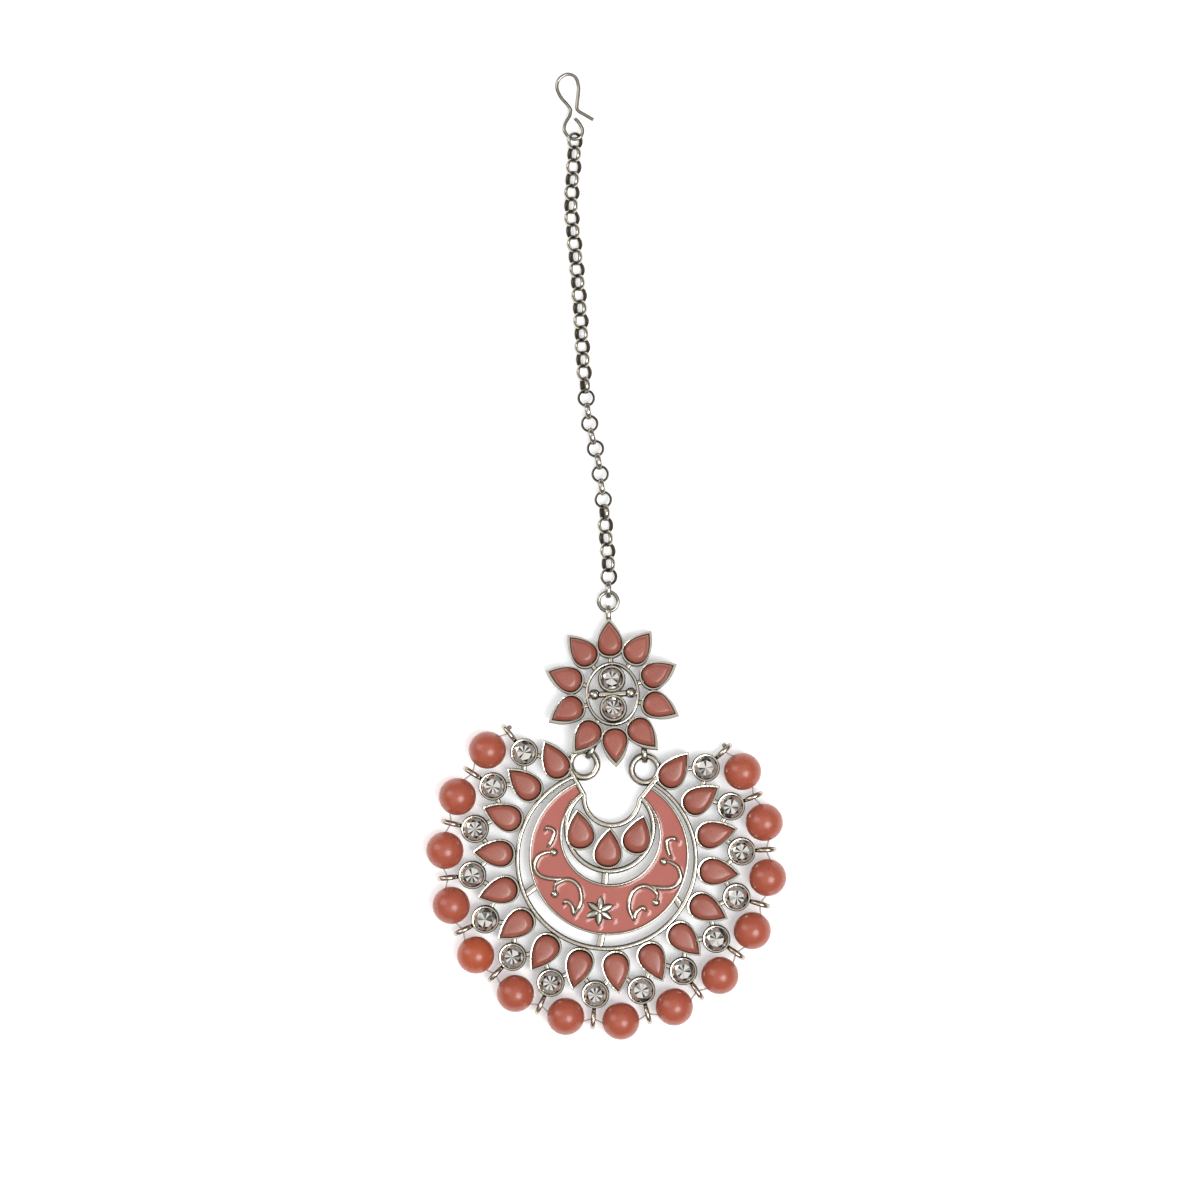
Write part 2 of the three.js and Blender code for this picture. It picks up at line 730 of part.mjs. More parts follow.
function rosetteCrystalCup() {
  const { cup, wall } = ROSETTE_CRYSTAL;
  const profile = [
    [0, 0],
    [cup / 2, 0],
    [cup / 2, CRYSTAL_CUP_HEIGHT],
    [cup / 2 - wall, CRYSTAL_CUP_HEIGHT],
    [cup / 2 - wall, CUP_FLOOR],
    [0, CUP_FLOOR],
  ];
  return turned(profile, CUP_SIDES);
}

function rosetteCrystal() {
  const radius = ROSETTE_CRYSTAL.girdle / 2;
  const bottom = CUP_FLOOR + SEAT_GAP;
  const profile = [
    [0, bottom],
    [radius / 2, bottom],
    [radius, CRYSTAL_CUP_HEIGHT - SEAT_GAP],
    [radius, CRYSTAL_CUP_HEIGHT],
    [CRYSTAL_TABLE / 2, CRYSTAL_CUP_HEIGHT + CRYSTAL_CROWN],
    [0, CRYSTAL_CUP_HEIGHT + CRYSTAL_CROWN],
  ];
  return turned(profile, CUP_SIDES);
}

// A bail standing on edge behind a petal, round the wire of a horn loop, in the rosette's own frame
function bails(group) {
  const back = group.matrixWorld.clone().invert();
  const middle = BAIL.inner + BAIL.wire / 2;
  return BAILS.map(({ side, turn }) => {
    const wireReach = HORN_LOOP.radius + (BAIL.inner - HORN_LOOP.wire / 2 - RUN_GAP);
    const place = new THREE.Vector2(side * HORN_LOOP.x, HORN_LOOP.y)
      .add(polar(wireReach, 180 + turn))
      .rotateAround(new THREE.Vector2(), radians(PENDANT_TURN));
    const ring = wireRing(middle, BAIL.wire, BAIL.width, EYE_SIDES)
      .rotateY(Math.PI / 2)
      .rotateZ(radians(turn + PENDANT_TURN))
      .translate(place.x, place.y, pendantRise + HORN_LOOP.wire / 2);
    return solid(ring.applyMatrix4(back));
  });
}

function rosetteFrame(group) {
  const petalPlaces = PETALS.map(petalPlace);
  const solids = pearBlocks(PETAL_PEAR, petalPlaces);
  solids.push(ovalRing());
  for (const petal of PETALS) {
    const { x, y } = petalPlace(petal);
    const from = new THREE.Vector2(x, y);
    const to = new THREE.Vector2(
      (OVAL.across - OVAL.wall / 2) * Math.sin(radians(petal.at)),
      (OVAL.along - OVAL.wall / 2) * Math.cos(radians(petal.at)),
    );
    solids.push(solid(bar(from, to, BRIDGE_WIDTH, CUP_FLOOR - 0.05)));
  }
  for (const y of [-ROSETTE_CRYSTAL.reach, ROSETTE_CRYSTAL.reach]) {
    solids.push(solid(placed(rosetteCrystalCup(), 0, y)));
  }
  const { x: ballAt, radius } = CROSSBAR_BALL;
  for (const side of [-1, 1]) {
    const ball = new THREE.SphereGeometry(radius, LOOP_SIDES, LOOP_SIDES / 2).rotateX(Math.PI / 2);
    solids.push(solid(placed(ball, side * ballAt, 0, FRAME_HEIGHT)));
  }
  const barEnd = new THREE.Vector2(OVAL.across - OVAL.wall / 2, 0);
  solids.push(solid(bar(barEnd.clone().negate(), barEnd, BRIDGE_WIDTH, FRAME_HEIGHT)));
  const spineEnd = new THREE.Vector2(0, OVAL.along - OVAL.wall / 2);
  solids.push(solid(bar(spineEnd.clone().negate(), spineEnd, BRIDGE_WIDTH, CUP_FLOOR - 0.05)));
  solids.push(solid(eyelet()));
  return join([...solids, ...bails(group)]).subtract(join(pearRooms(PETAL_PEAR, petalPlaces)));
}

function eyelet() {
  return wireRing(EYELET.half - EYELET.wire / 2, EYELET.wire, EYELET.across, EYE_SIDES)
    .rotateY(Math.PI / 2)
    .scale(1, 1, EYELET.halfHeight / EYELET.half)
    .translate(0, eyeletAt, EYELET.halfHeight);
}

function rosette() {
  const group = rosetteGroup();
  group.add(named("rosette_frame", geometryOf(rosetteFrame(group)), silver));
  PETALS.forEach((petal, i) => {
    group.add(setStone(numbered("rosette_pear", i + 1), pearStone(PETAL_PEAR), petalPlace(petal)));
  });
  for (const [name, side] of [
    ["rosette_crystal_upper", 1],
    ["rosette_crystal_lower", -1],
  ]) {
    const stone = named(name, rosetteCrystal(), crystal);
    stone.position.y = side * ROSETTE_CRYSTAL.reach;
    group.add(stone);
  }
  return group;
}

// The jump ring hangs in the far end of the eyelet's hole
function jumpRingPlace() {
  const eye = new THREE.Vector3(0, eyeletAt, 0).applyMatrix4(rosetteGroup().matrixWorld);
  const holeEnd = EYELET.half - EYELET.wire;
  const foot = eye.y + holeEnd - JUMP_RING.wire / 2 - RUN_GAP / 2;
  return new THREE.Vector3(eye.x, foot + JUMP_RING.radius, JUMP_RING.rise);
}

function chainRoute() {
  const ring = jumpRingPlace();
  const start = ring.y + JUMP_RING.radius + JUMP_RING.wire / 2 + RUN_GAP;
  return new THREE.CatmullRomCurve3(
    CHAIN_ROUTE.map(([x, share]) => {
      return new THREE.Vector3(ring.x + x, start + share * CHAIN_LENGTH, CHAIN_RADIUS);
    }),
  );
}

// The links as one plain tube along their middle line
function chain() {
  const section = roundSection(CHAIN_RADIUS, CHAIN_SIDES);
  return new THREE.ExtrudeGeometry(section, { steps: CHAIN_STEPS, extrudePath: chainRoute() });
}

function hook() {
  const end = chainRoute().getPointAt(1);
  const points = HOOK_ROUTE.map(([x, y, share]) => {
    return new THREE.Vector3(end.x + x, end.y + y, THREE.MathUtils.lerp(HOOK_BEND_RISE, CHAIN_RADIUS, share));
  });
  const route = new THREE.CatmullRomCurve3(points);
  const section = roundSection(HOOK_WIRE / 2, WIRE_SIDES);
  return new THREE.ExtrudeGeometry(section, { steps: HOOK_STEPS, extrudePath: route });
}

function jumpRing() {
  const ring = wireRing(JUMP_RING.radius, JUMP_RING.wire, JUMP_RING.wire, RING_SIDES / 3);
  const mesh = named("jump_ring", ring, silver);
  mesh.position.copy(jumpRingPlace());
  return mesh;
}

const tikka = new THREE.Group();
tikka.add(pendant());
tikka.add(beadRow());
tikka.add(rosette());
tikka.add(jumpRing());
tikka.add(named("chain", chain(), silver));
tikka.add(named("hook", hook(), silver));

// The origin lies under the middle of the whole, on the table
const box = new THREE.Box3().setFromObject(tikka, true);
const middle = box.getCenter(new THREE.Vector3());
tikka.position.set(-middle.x, -middle.y, -box.min.z);

export default tikka;
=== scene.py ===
import math

import bmesh
import bpy
import numpy as np
from mathutils import Matrix, Vector


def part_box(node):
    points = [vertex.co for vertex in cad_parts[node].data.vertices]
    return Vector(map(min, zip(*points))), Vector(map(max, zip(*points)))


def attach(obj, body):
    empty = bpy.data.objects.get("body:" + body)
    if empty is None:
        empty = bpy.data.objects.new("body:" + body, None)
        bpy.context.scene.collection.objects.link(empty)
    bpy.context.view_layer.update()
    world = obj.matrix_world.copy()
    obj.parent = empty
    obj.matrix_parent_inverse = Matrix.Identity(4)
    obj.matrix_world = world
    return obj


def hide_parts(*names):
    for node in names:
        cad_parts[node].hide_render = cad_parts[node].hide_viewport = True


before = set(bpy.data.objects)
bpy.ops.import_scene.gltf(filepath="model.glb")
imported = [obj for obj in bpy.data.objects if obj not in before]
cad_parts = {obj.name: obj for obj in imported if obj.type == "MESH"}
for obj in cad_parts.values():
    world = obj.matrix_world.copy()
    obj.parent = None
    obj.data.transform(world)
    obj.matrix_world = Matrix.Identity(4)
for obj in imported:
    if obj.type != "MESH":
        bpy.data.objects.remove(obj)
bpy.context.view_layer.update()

# Crescent casting: rings, tray, throat wire and posts
# One casting in zinc alloy, silver plated and darkened, whose edges are polished bright again.
# The backs lie in one plane, and the fronts are rounded by the polishing.
MM = 0.001


class Field:
    """An output in a material's node tree: arithmetic on it makes the nodes that work it out."""

    def __init__(self, tree, socket=None):
        self.tree = tree
        self.socket = socket

    def node(self, kind, settings=None, inputs=None, output=0):
        made = self.tree.nodes.new(kind)
        for name, value in (settings or {}).items():
            setattr(made, name, value)
        for name, value in (inputs or {}).items():
            if isinstance(value, Field):
                self.tree.links.new(value.socket, made.inputs[name])
            else:
                made.inputs[name].default_value = value
        return Field(self.tree, made.outputs[output])

    def math(self, operation, *values):
        return self.node("ShaderNodeMath", {"operation": operation}, dict(enumerate(values)))

    def __add__(self, other):
        return self.math("ADD", self, other)

    def __sub__(self, other):
        return self.math("SUBTRACT", self, other)

    def __mul__(self, other):
        return self.math("MULTIPLY", self, other)

    def __rsub__(self, other):
        return self.math("SUBTRACT", other, self)

    __radd__ = __add__
    __rmul__ = __mul__

    def between(self, low, high, start=0.0, end=1.0):
        settings = {"interpolation_type": "SMOOTHSTEP"}
        return self.node("ShaderNodeMapRange", settings, {0: self, 1: low, 2: high, 3: start, 4: end})

    def colours(self, low, high):
        settings = {"data_type": "RGBA", "clamp_factor": True}
        return self.node("ShaderNodeMix", settings, {0: self, 6: low, 7: high}, output=2)

    def place(self):
        return self.node("ShaderNodeTexCoord", output=3)

    def attribute(self, name):
        return self.node("ShaderNodeAttribute", {"attribute_name": name}, output=2)

    def noise(self, grain_mm, detail=2.0, roughness=0.5):
        inputs = {"Vector": self.place(), "Scale": 1 / (grain_mm * MM), "Detail": detail, "Roughness": roughness}
        return self.node("ShaderNodeTexNoise", inputs=inputs)

    def bump(self, depth_mm, strength=1.0):
        return self.node("ShaderNodeBump", inputs={"Height": self, "Distance": depth_mm * MM, "Strength": strength})


def finish(name, fixed, varying):
    """A material from fixed sockets of the surface and a function that works out the varying ones."""
    material = bpy.data.materials.new(name)
    material.use_nodes = True
    surface = material.node_tree.nodes["Principled BSDF"]
    for socket, value in fixed.items():
        surface.inputs[socket].default_value = value
    for socket, field in varying(Field(material.node_tree)).items():
        material.node_tree.links.new(field.socket, surface.inputs[socket])
    return material


def silver_plate(bright, dark, tarnish, lump_mm):
    """Plated castings and wire: bright metal, brown-black in random tarnish and where painted shade lies on the sides
    and lower parts of each form.
    """

    def vary(field):
        cloud = field.noise(1.7, detail=3.0)
        grain = field.noise(0.35, detail=4.0, roughness=0.65)
        lumps = field.noise(lump_mm)
        shade_patina_and_glue = field.attribute("shade_patina_and_glue")
        # Darkness: random tarnish clouds plus the painted shade from each form's shade values.
        tarnish_and_shade = (shade_patina_and_glue + cloud * tarnish + grain * 0.25 - 0.3 * tarnish).between(0.25, 1.0)
        polish = cloud.colours((*bright, 1), (bright[0] * 0.86, bright[1] * 0.83, bright[2] * 0.76, 1))
        return {
            "Base Color": tarnish_and_shade.colours(polish, (*dark, 1)),
            "Roughness": (grain * 0.14 + tarnish_and_shade * 0.25 + 0.12).between(0.0, 0.6, 0.0, 0.6),
            "Normal": (lumps + grain * 0.22).bump(0.05, 0.55),
        }

    return vary


cast_silver = finish(
    "cast_silver", {"Metallic": 1.0}, silver_plate((0.58, 0.54, 0.465), (0.055, 0.043, 0.033), 0.6, 0.55)
)


def skin(rings, shade_patina_and_glue, loop=False):
    """A closed skin through rings of equally many points, or right round if it is a loop."""
    rings = np.asarray(rings, dtype=float)
    rows, around = rings.shape[:2]
    faces = []
    for i in range(rows if loop else rows - 1):
        here, above = i * around, (i + 1) % rows * around
        for j in range(around):
            k = (j + 1) % around
            faces.append((here + j, here + k, above + k, above + j))
    if not loop:
        faces.append(tuple(range(around)))
        faces.append(tuple(range((rows - 1) * around, rows * around)))
    shades = np.asarray(shade_patina_and_glue, dtype=float)
    if shades.ndim == 1:
        shades = shades[:, None]
    return rings.reshape(-1, 3), faces, np.broadcast_to(shades, (rows, around)).reshape(-1)


def moved(part, matrix):
    points, faces, shade_patina_and_glue = part
    matrix = np.array(matrix)
    return points @ matrix[:3, :3].T + matrix[:3, 3], faces, shade_patina_and_glue


def mesh_of(name, parts, sharp_degrees=50):
    """One mesh in metres from skins in millimetres, with their shades kept for the material."""
    points, faces, shade_patina_and_glue = [], [], []
    for part_points, part_faces, part_shade_patina_and_glue in parts:
        start = len(points)
        points.extend(map(tuple, part_points * MM))
        faces.extend(tuple(start + corner for corner in face) for face in part_faces)
        shade_patina_and_glue.extend(part_shade_patina_and_glue)
    mesh = bpy.data.meshes.new(name)
    mesh.from_pydata(points, [], faces)
    # Shade values: painted shade on the metal, with some patina in its hollows; painted shade round the stones; glue on
    # the thread's knots.
    mesh.attributes.new("shade_patina_and_glue", "FLOAT", "POINT").data.foreach_set("value", np.array(shade_patina_and_glue, dtype=np.float32))
    work = bmesh.new()
    work.from_mesh(mesh)
    bmesh.ops.recalc_face_normals(work, faces=work.faces)
    work.to_mesh(mesh)
    work.free()
    mesh.shade_smooth()
    mesh.set_sharp_from_angle(angle=math.radians(sharp_degrees))
    return mesh


def piece(name, mesh, material, slot, *nodes):
    """A finished piece: it rides on the part and stands for the nodes named."""
    made = bpy.data.objects.new(name, mesh)
    bpy.context.scene.collection.objects.link(made)
    if material:
        mesh.materials.clear()
        mesh.materials.append(material)
    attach(made, "root")
    if nodes:
        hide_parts(*nodes)
    return made


def middle(node):
    low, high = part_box(node)
    return (Vector(low) + Vector(high)) / 2 / MM


def centre_of_circle(places):
    """The middle of the circle that places lie on."""
    rows = np.array([[2 * p.x, 2 * p.y, 1] for p in places])
    squares = np.array([p.x**2 + p.y**2 for p in places])
    across, along, _ = np.linalg.lstsq(rows, squares, rcond=None)[0]
    return across, along


BEADS = 14
bead_nodes = [f"bead_{i:02d}" for i in range(1, BEADS + 1)]
bead_places = [middle(node) for node in bead_nodes]
crescent_x, crescent_y = centre_of_circle(bead_places)
crescent_rise = 1.1
crescent_turn = -4.8
crescent = Matrix.Translation((crescent_x, crescent_y, crescent_rise)) @ Matrix.Rotation(
    math.radians(crescent_turn), 4, "Z"
)

frame_height = 1.8
solder_lap = 0.15
throat_y, throat_radius, throat_wire, throat_lean, throat_top = 9.7, 4.35, 0.8, 34, 13.7


def from_foot(radius, degrees, x=0.0, y=0.0):
    """A place on a circle, its angle counted from the foot of the crescent towards +X."""
    return np.array([x + radius * np.sin(np.radians(degrees)), y - radius * np.cos(np.radians(degrees))])


def round_bar(width, height, edge, low=0.0):
    """The section of a bar with rounded front edges and a flat back, and its painted shade: dark sides, bright top."""
    half = width / 2
    turns = np.radians([0, 30, 60, 90])
    front = [(half - edge + edge * math.cos(t), height - edge + edge * math.sin(t)) for t in turns]
    right = [(half * 0.97, low), (half, low + (height - low) * 0.45)] + front
    left = [(-side, rise) for side, rise in reversed(right)]
    # Painted shade: dark on the sides and the rounded edges, none on the flat top.
    dark = [0.7, 0.6, 0.85, 0.6, 0.1, 0.0]
    return np.array(right + left), np.array(dark + dark[::-1])


def wire_section(width, height, sides=12, lit_side=90):
    """The section of a wire, with a painted highlight on its lit side and painted shade opposite: 90 is up, and 0 is
    outwards on a ring.
    """
    turns = np.radians(np.arange(sides) * 360 / sides)
    section = np.stack([width / 2 * np.cos(turns), height / 2 * np.sin(turns)], axis=1)
    # Painted highlight on the lit side, painted shade on the far side.
    return section, 0.62 - 0.72 * np.cos(turns - math.radians(lit_side))


def swept(path, section, loop=False, taper=None):
    """A section carried along a path, its first value to the right of the path and its second up."""
    outline, dark = section
    path = np.asarray(path, dtype=float)
    if path.shape[1] == 2:
        path = np.column_stack([path, np.zeros(len(path))])
    before, after = np.roll(path, 1, axis=0), np.roll(path, -1, axis=0)
    if not loop:
        before[0], after[-1] = path[0], path[-1]
    forward = after - before
    forward /= np.linalg.norm(forward, axis=1, keepdims=True)
    right = np.cross(forward, (0, 0, 1))
    right /= np.linalg.norm(right, axis=1, keepdims=True)
    up = np.cross(right, forward)
    size = np.ones(len(path)) if taper is None else np.asarray(taper)
    rings = (
        path[:, None, :]
        + right[:, None, :] * (outline[None, :, 0:1] * size[:, None, None])
        + up[:, None, :] * (outline[None, :, 1:2] * size[:, None, None])
    )
    return skin(rings, np.broadcast_to(dark, rings.shape[:2]), loop)


def outside_bay(place, grow):
    """How far a place lies outside the bay between the horns, whose outline is grown."""
    x, y = abs(place[0]), place[1]
    radius = throat_radius + grow
    if y <= throat_y:
        return math.hypot(x, y - throat_y) - radius
    return x - radius - (y - throat_y) * math.tan(math.radians(throat_lean))


def end_angle(circle, side, grow):
    """The angle from the foot at which a circle runs into the bay."""
    low, high = 0.0, 180.0
    for _ in range(40):
        half = (low + high) / 2
        if outside_bay(from_foot(circle["radius"], side * half, circle["x"], circle["y"]), grow) > 0:
            low = half
        else:
            high = half
    return side * low


def arc_to_bay(circle, inset, steps=140, grow=0.0):
    circle = {**circle, "radius": circle["radius"] - inset}
    angles = np.linspace(end_angle(circle, -1, grow), end_angle(circle, 1, grow), steps)
    return [from_foot(circle["radius"], angle, circle["x"], circle["y"]) for angle in angles]


outer_ring = {"x": 0.0, "y": 0.0, "radius": 14.3}
tray = {"x": 0.3, "y": 0.7, "radius": 12.5}
tray_hole = {"x": 0.3, "y": 3.76, "radius": 7.6}
inner_ring = {"x": 0.07, "y": 5.0, "radius": 7.2}
ring_width, tray_rim, inner_wire = 0.7, 0.35, 0.8
rings = [
    swept(arc_to_bay(outer_ring, ring_width / 2), round_bar(ring_width, frame_height, 0.25)),
    swept(arc_to_bay(tray, tray_rim / 2), round_bar(tray_rim, frame_height, 0.14)),
    swept(arc_to_bay(tray_hole, -tray_rim / 2), round_bar(tray_rim, frame_height, 0.14)),
    swept(arc_to_bay(inner_ring, inner_wire / 2), round_bar(inner_wire, frame_height, 0.3)),
]

throat_spread = throat_radius + (throat_top - throat_y) * math.tan(math.radians(throat_lean))
throat_curve = [
    (throat_radius * math.cos(t), throat_y - throat_radius * math.sin(t)) for t in np.linspace(math.pi, 0, 49)
]
throat_path = [(-throat_spread, throat_top), *throat_curve, (throat_spread, throat_top)]
rings.append(swept(throat_path, round_bar(throat_wire, frame_height, 0.28)))


def bar(start, end, width, height, low=0.2):
    return swept(np.linspace(start, end, 6), round_bar(width, height, min(width, height - low) * 0.3, low))


post_width, post_height = 1.1, 1.0
posts = [bar((0, inner_ring["y"] - inner_ring["radius"] + 0.4), (0, tray_hole["y"] - tray_hole["radius"] - 0.17),
             post_width, post_height)]
for turn in (-62, 0, 62):
    inner_end = from_foot(tray["radius"] - 0.17, turn, tray["x"], tray["y"])
    posts.append(bar(inner_end, from_foot(outer_ring["radius"] - 0.35, turn), post_width, post_height))

horn_x, horn_y, horn_radius, horn_wire = 4.8, 14.54, 2.1, 1.1


def hoop(radius, width, height, steps=40, lit_side=90):
    """A ring of wire round Z, its section width across and height along Z."""
    circle = [from_foot(radius, angle) for angle in np.arange(steps) * 360 / steps]
    return swept(circle, wire_section(width, height, lit_side=lit_side), loop=True)


horn_loops = [
    moved(hoop(horn_radius, horn_wire, horn_wire), Matrix.Translation((side * horn_x, horn_y, horn_wire / 2)))
    for side in (-1, 1)
]


def grains(radius, angles, x=0.0, y=0.0):
    """A row of cast grains along a circle, with painted shade on their lower sides."""
    made = []
    for i, angle in enumerate(angles):
        size = 0.15 + 0.03 * (i % 3)
        around = np.radians(np.arange(8) * 45)
        rows = [
            np.column_stack([size * math.cos(t) * np.cos(around), size * math.cos(t) * np.sin(around),
                             np.full(8, frame_height - 0.1 + size * math.sin(t))])
            for t in np.linspace(0, 1.4, 4)
        ]
        place = Matrix.Translation((*from_foot(radius, angle, x, y), 0))
        made.append(moved(skin(rows, np.array([1.0, 0.5, 0.0, 0.0])), place))
    return made


rough_spots = grains(outer_ring["radius"] - ring_width - 0.05, range(-147, -126, 2))
for side in (-1, 1):
    angles = [side * turn for turn in range(94, 124, 3)]
    rough_spots += grains(inner_ring["radius"] + 0.05, angles, inner_ring["x"], inner_ring["y"])
piece(
    "crescent_rings",
    mesh_of("crescent_rings", [moved(part, crescent) for part in rings + posts + horn_loops + rough_spots]),
    cast_silver, "silver", "pendant_frame",
)

# Tray floor with its scrolls and star
# The tray is cast in the same piece, and its scrolls, drops and star stand a little above the enamel.
# Each scroll is a half-round ridge that thins out at its ends.
tray_floor = 0.9
ribbon_width, ribbon_top = 0.82, 1.98
drop_radius = 0.7


def tray_place(degrees, share):
    inner = from_foot(tray_hole["radius"], degrees, tray_hole["x"], tray_hole["y"])
    outer = from_foot(tray["radius"], degrees, tray["x"], tray["y"])
    return inner + (outer - inner) * share


# Places of each scroll on one half of the tray, as degrees from the foot and a share of the tray's width
scrolls = {
    "crook": [(100, 0.63), (101, 0.49), (95, 0.26), (87, 0.3), (82, 0.45)],
    "stem": [(75, 0.3), (79, 0.5), (80, 0.72), (75, 0.87), (67, 0.81), (60, 0.66), (52, 0.46), (46, 0.3)],
    "curl": [(47, 0.68), (50, 0.58), (48, 0.42), (43, 0.27), (35, 0.21), (27, 0.27), (22, 0.5), (24, 0.8)],
    "barb": [(24, 0.8), (28, 0.65), (34, 0.63), (36, 0.74)],
}
drops = [(74, 0.28), (46, 0.7)]


def smooth_path(points, steps):
    """A curve through its points, evenly stepped."""
    points = np.asarray(points, dtype=float)
    padded = np.vstack([2 * points[0] - points[1], points, 2 * points[-1] - points[-2]])
    curve = []
    for i in range(1, len(padded) - 2):
        a, b, c, d = padded[i - 1 : i + 3]
        for t in np.linspace(0, 1, 12, endpoint=False):
            curve.append(
                0.5 * (2 * b + (c - a) * t + (2 * a - 5 * b + 4 * c - d) * t**2 + (3 * b - a - 3 * c + d) * t**3)
            )
    curve.append(padded[-2])
    curve = np.array(curve)
    run = np.concatenate([[0], np.cumsum(np.linalg.norm(np.diff(curve, axis=0), axis=1))])
    even = np.linspace(0, run[-1], steps)
    return np.column_stack([np.interp(even, run, curve[:, axis]) for axis in range(curve.shape[1])])


def turned(profile, sides, shade_patina_and_glue):
    """A turned form about Z from radii and heights, bottom first, and how dark each height is."""
    angles = np.radians(np.arange(sides) * 360 / sides)
    rings = [
        np.column_stack([radius * np.cos(angles), radius * np.sin(angles), np.full(sides, height)])
        for radius, height in profile
    ]
    return skin(rings, shade_patina_and_glue)


ridge_turns = np.radians([0, 25, 50, 75, 105, 130, 155, 180])
ridge_low = 1.3
ridge = np.column_stack([ribbon_width / 2 * np.cos(ridge_turns), (ribbon_top - ridge_low) * np.sin(ridge_turns)])
# Painted shade on the ridge's sides; its crest stays bright.
ridge_section = (np.vstack([[ribbon_width / 2, -0.5], ridge, [-ribbon_width / 2, -0.5]]),
                 np.array([1.0, 0.75, 0.2, 0.0, 0.0, 0.0, 0.0, 0.2, 0.75, 1.0]))
relief = []
scroll_lines = []
for side in (-1, 1):
    for points in scrolls.values():
        line = smooth_path([tray_place(side * degrees, share) for degrees, share in points], 40)
        scroll_lines.append(line)
        share = np.linspace(0, 1, len(line))
        taper = np.minimum(1, 0.45 + 4 * np.minimum(share, 1 - share))
        line = np.column_stack([line, np.full(len(line), ridge_low)])
        relief.append(swept(line, ridge_section, taper=taper))
    for degrees, share in drops:
        x, y = tray_place(side * degrees, share)
        dome = [(drop_radius * math.cos(t), tray_floor + 0.35 + 0.72 * math.sin(t)) for t in np.linspace(0, 1.45, 7)]
        # Painted shade low on each drop; its top stays bright.
        shades = [0.85, 0.3, 0.0, 0.0, 0.0, 0.0, 0.0]
        relief.append(moved(turned([(drop_radius, tray_floor - 0.2), *dome], 24, [1.0, *shades]),
                            Matrix.Translation((x, y, 0))))

star_turn, star_share, star_reach, star_petals, star_width = -4, 0.54, 2.5, 6, 1.15
star_x, star_y = tray_place(star_turn, star_share)
for i in range(star_petals):
    rows = []
    for share in np.linspace(0.02, 1, 12):
        half = star_width / 2 * math.sin(math.pi * min(1, share * 0.93 + 0.07)) ** 0.7 + 0.02
        crest = ribbon_top - 0.14 - 0.35 * share**2
        run = star_reach * share
        rows.append([(half, run, tray_floor - 0.1), (half, run, crest - 0.25), (half * 0.5, run, crest - 0.1),
                     (0.0, run, crest), (-half * 0.5, run, crest - 0.1), (-half, run, crest - 0.25),
                     (-half, run, tray_floor - 0.1)])
    turn = Matrix.Rotation(math.radians(i * 360 / star_petals), 4, "Z")
    # Painted shade on the petals' sides; their crests stay bright.
    shades = np.broadcast_to([1.0, 0.85, 0.3, 0.0, 0.3, 0.85, 1.0], (12, 7))
    relief.append(moved(skin(rows, shades), Matrix.Translation((star_x, star_y, 0)) @ turn))
heart = [(0.55 * math.cos(t), 1.5 + 0.45 * math.sin(t)) for t in np.linspace(0, 1.45, 6)]
# Painted shade low on the star's heart; its top stays bright.
relief.append(moved(turned([(0.55, 1.0), *heart], 20, [1.0, 0.9, 0.4, 0.1, 0.0, 0.0, 0.0]),
                    Matrix.Translation((star_x, star_y, 0))))


def tray_sheet(inset, top, low, across=26, along=150):
    """A crescent plate between the tray's rims, its top from a function of place."""
    outer = {**tray, "radius": tray["radius"] - inset}
    inner = {**tray_hole, "radius": tray_hole["radius"] + inset}
    grid = np.zeros((along, across, 2))
    for j, share in enumerate(np.linspace(0, 1, across)):
        circle = {key: inner[key] + (outer[key] - inner[key]) * share for key in inner}
        ends = [end_angle(circle, side, throat_wire / 2 * 0.9) for side in (-1, 1)]
        for i, angle in enumerate(np.linspace(*ends, along)):
            grid[i, j] = from_foot(circle["radius"], angle, circle["x"], circle["y"])
    heights = top(grid)
    front = np.dstack([grid, heights])
    edges_low = np.full((along, 1), low)
    rows = np.concatenate([
        np.dstack([grid[:, :1], edges_low]), front, np.dstack([grid[:, -1:], edges_low])
    ], axis=1)
    return skin(rows, 0.0)


floor_plate = tray_sheet(0.1, lambda grid: np.full(grid.shape[:2], tray_floor), 0.0, across=8)
piece(
    "scroll_plate", mesh_of("scroll_plate", [moved(part, crescent) for part in [floor_plate, *relief]]),
    cast_silver, "silver", "pendant_frame",
)

# Enamel
# Cold enamel is poured into the tray and draws itself up against the rims, the scrolls and the star.
# It is glossy, opaque salmon pink, a little paler and deeper in soft clouds, with fine dark specks.
enamel_level, enamel_climb, enamel_reach = 1.36, 0.07, 0.28
scroll_points = np.concatenate(scroll_lines)
star_points = np.array([
    (star_x - run * math.sin(turn), star_y + run * math.cos(turn))
    for turn in np.radians(np.arange(star_petals) * 360 / star_petals)
    for run in np.linspace(0, star_reach, 12)
])
metal_points = np.vstack([scroll_points, star_points])


def enamel_top(grid):
    flat = grid.reshape(-1, 2)
    from_metal = np.min(np.linalg.norm(flat[:, None] - metal_points[None], axis=2), axis=1) - ribbon_width / 2
    from_rim = tray["radius"] - tray_rim - np.hypot(flat[:, 0] - tray["x"], flat[:, 1] - tray["y"])
    from_hole = np.hypot(flat[:, 0] - tray_hole["x"], flat[:, 1] - tray_hole["y"]) - tray_hole["radius"] - tray_rim
    gap = np.clip(np.minimum.reduce([from_metal, from_rim, from_hole]), 0, None)
    return (enamel_level + enamel_climb * np.exp(-gap / enamel_reach)).reshape(grid.shape[:2])


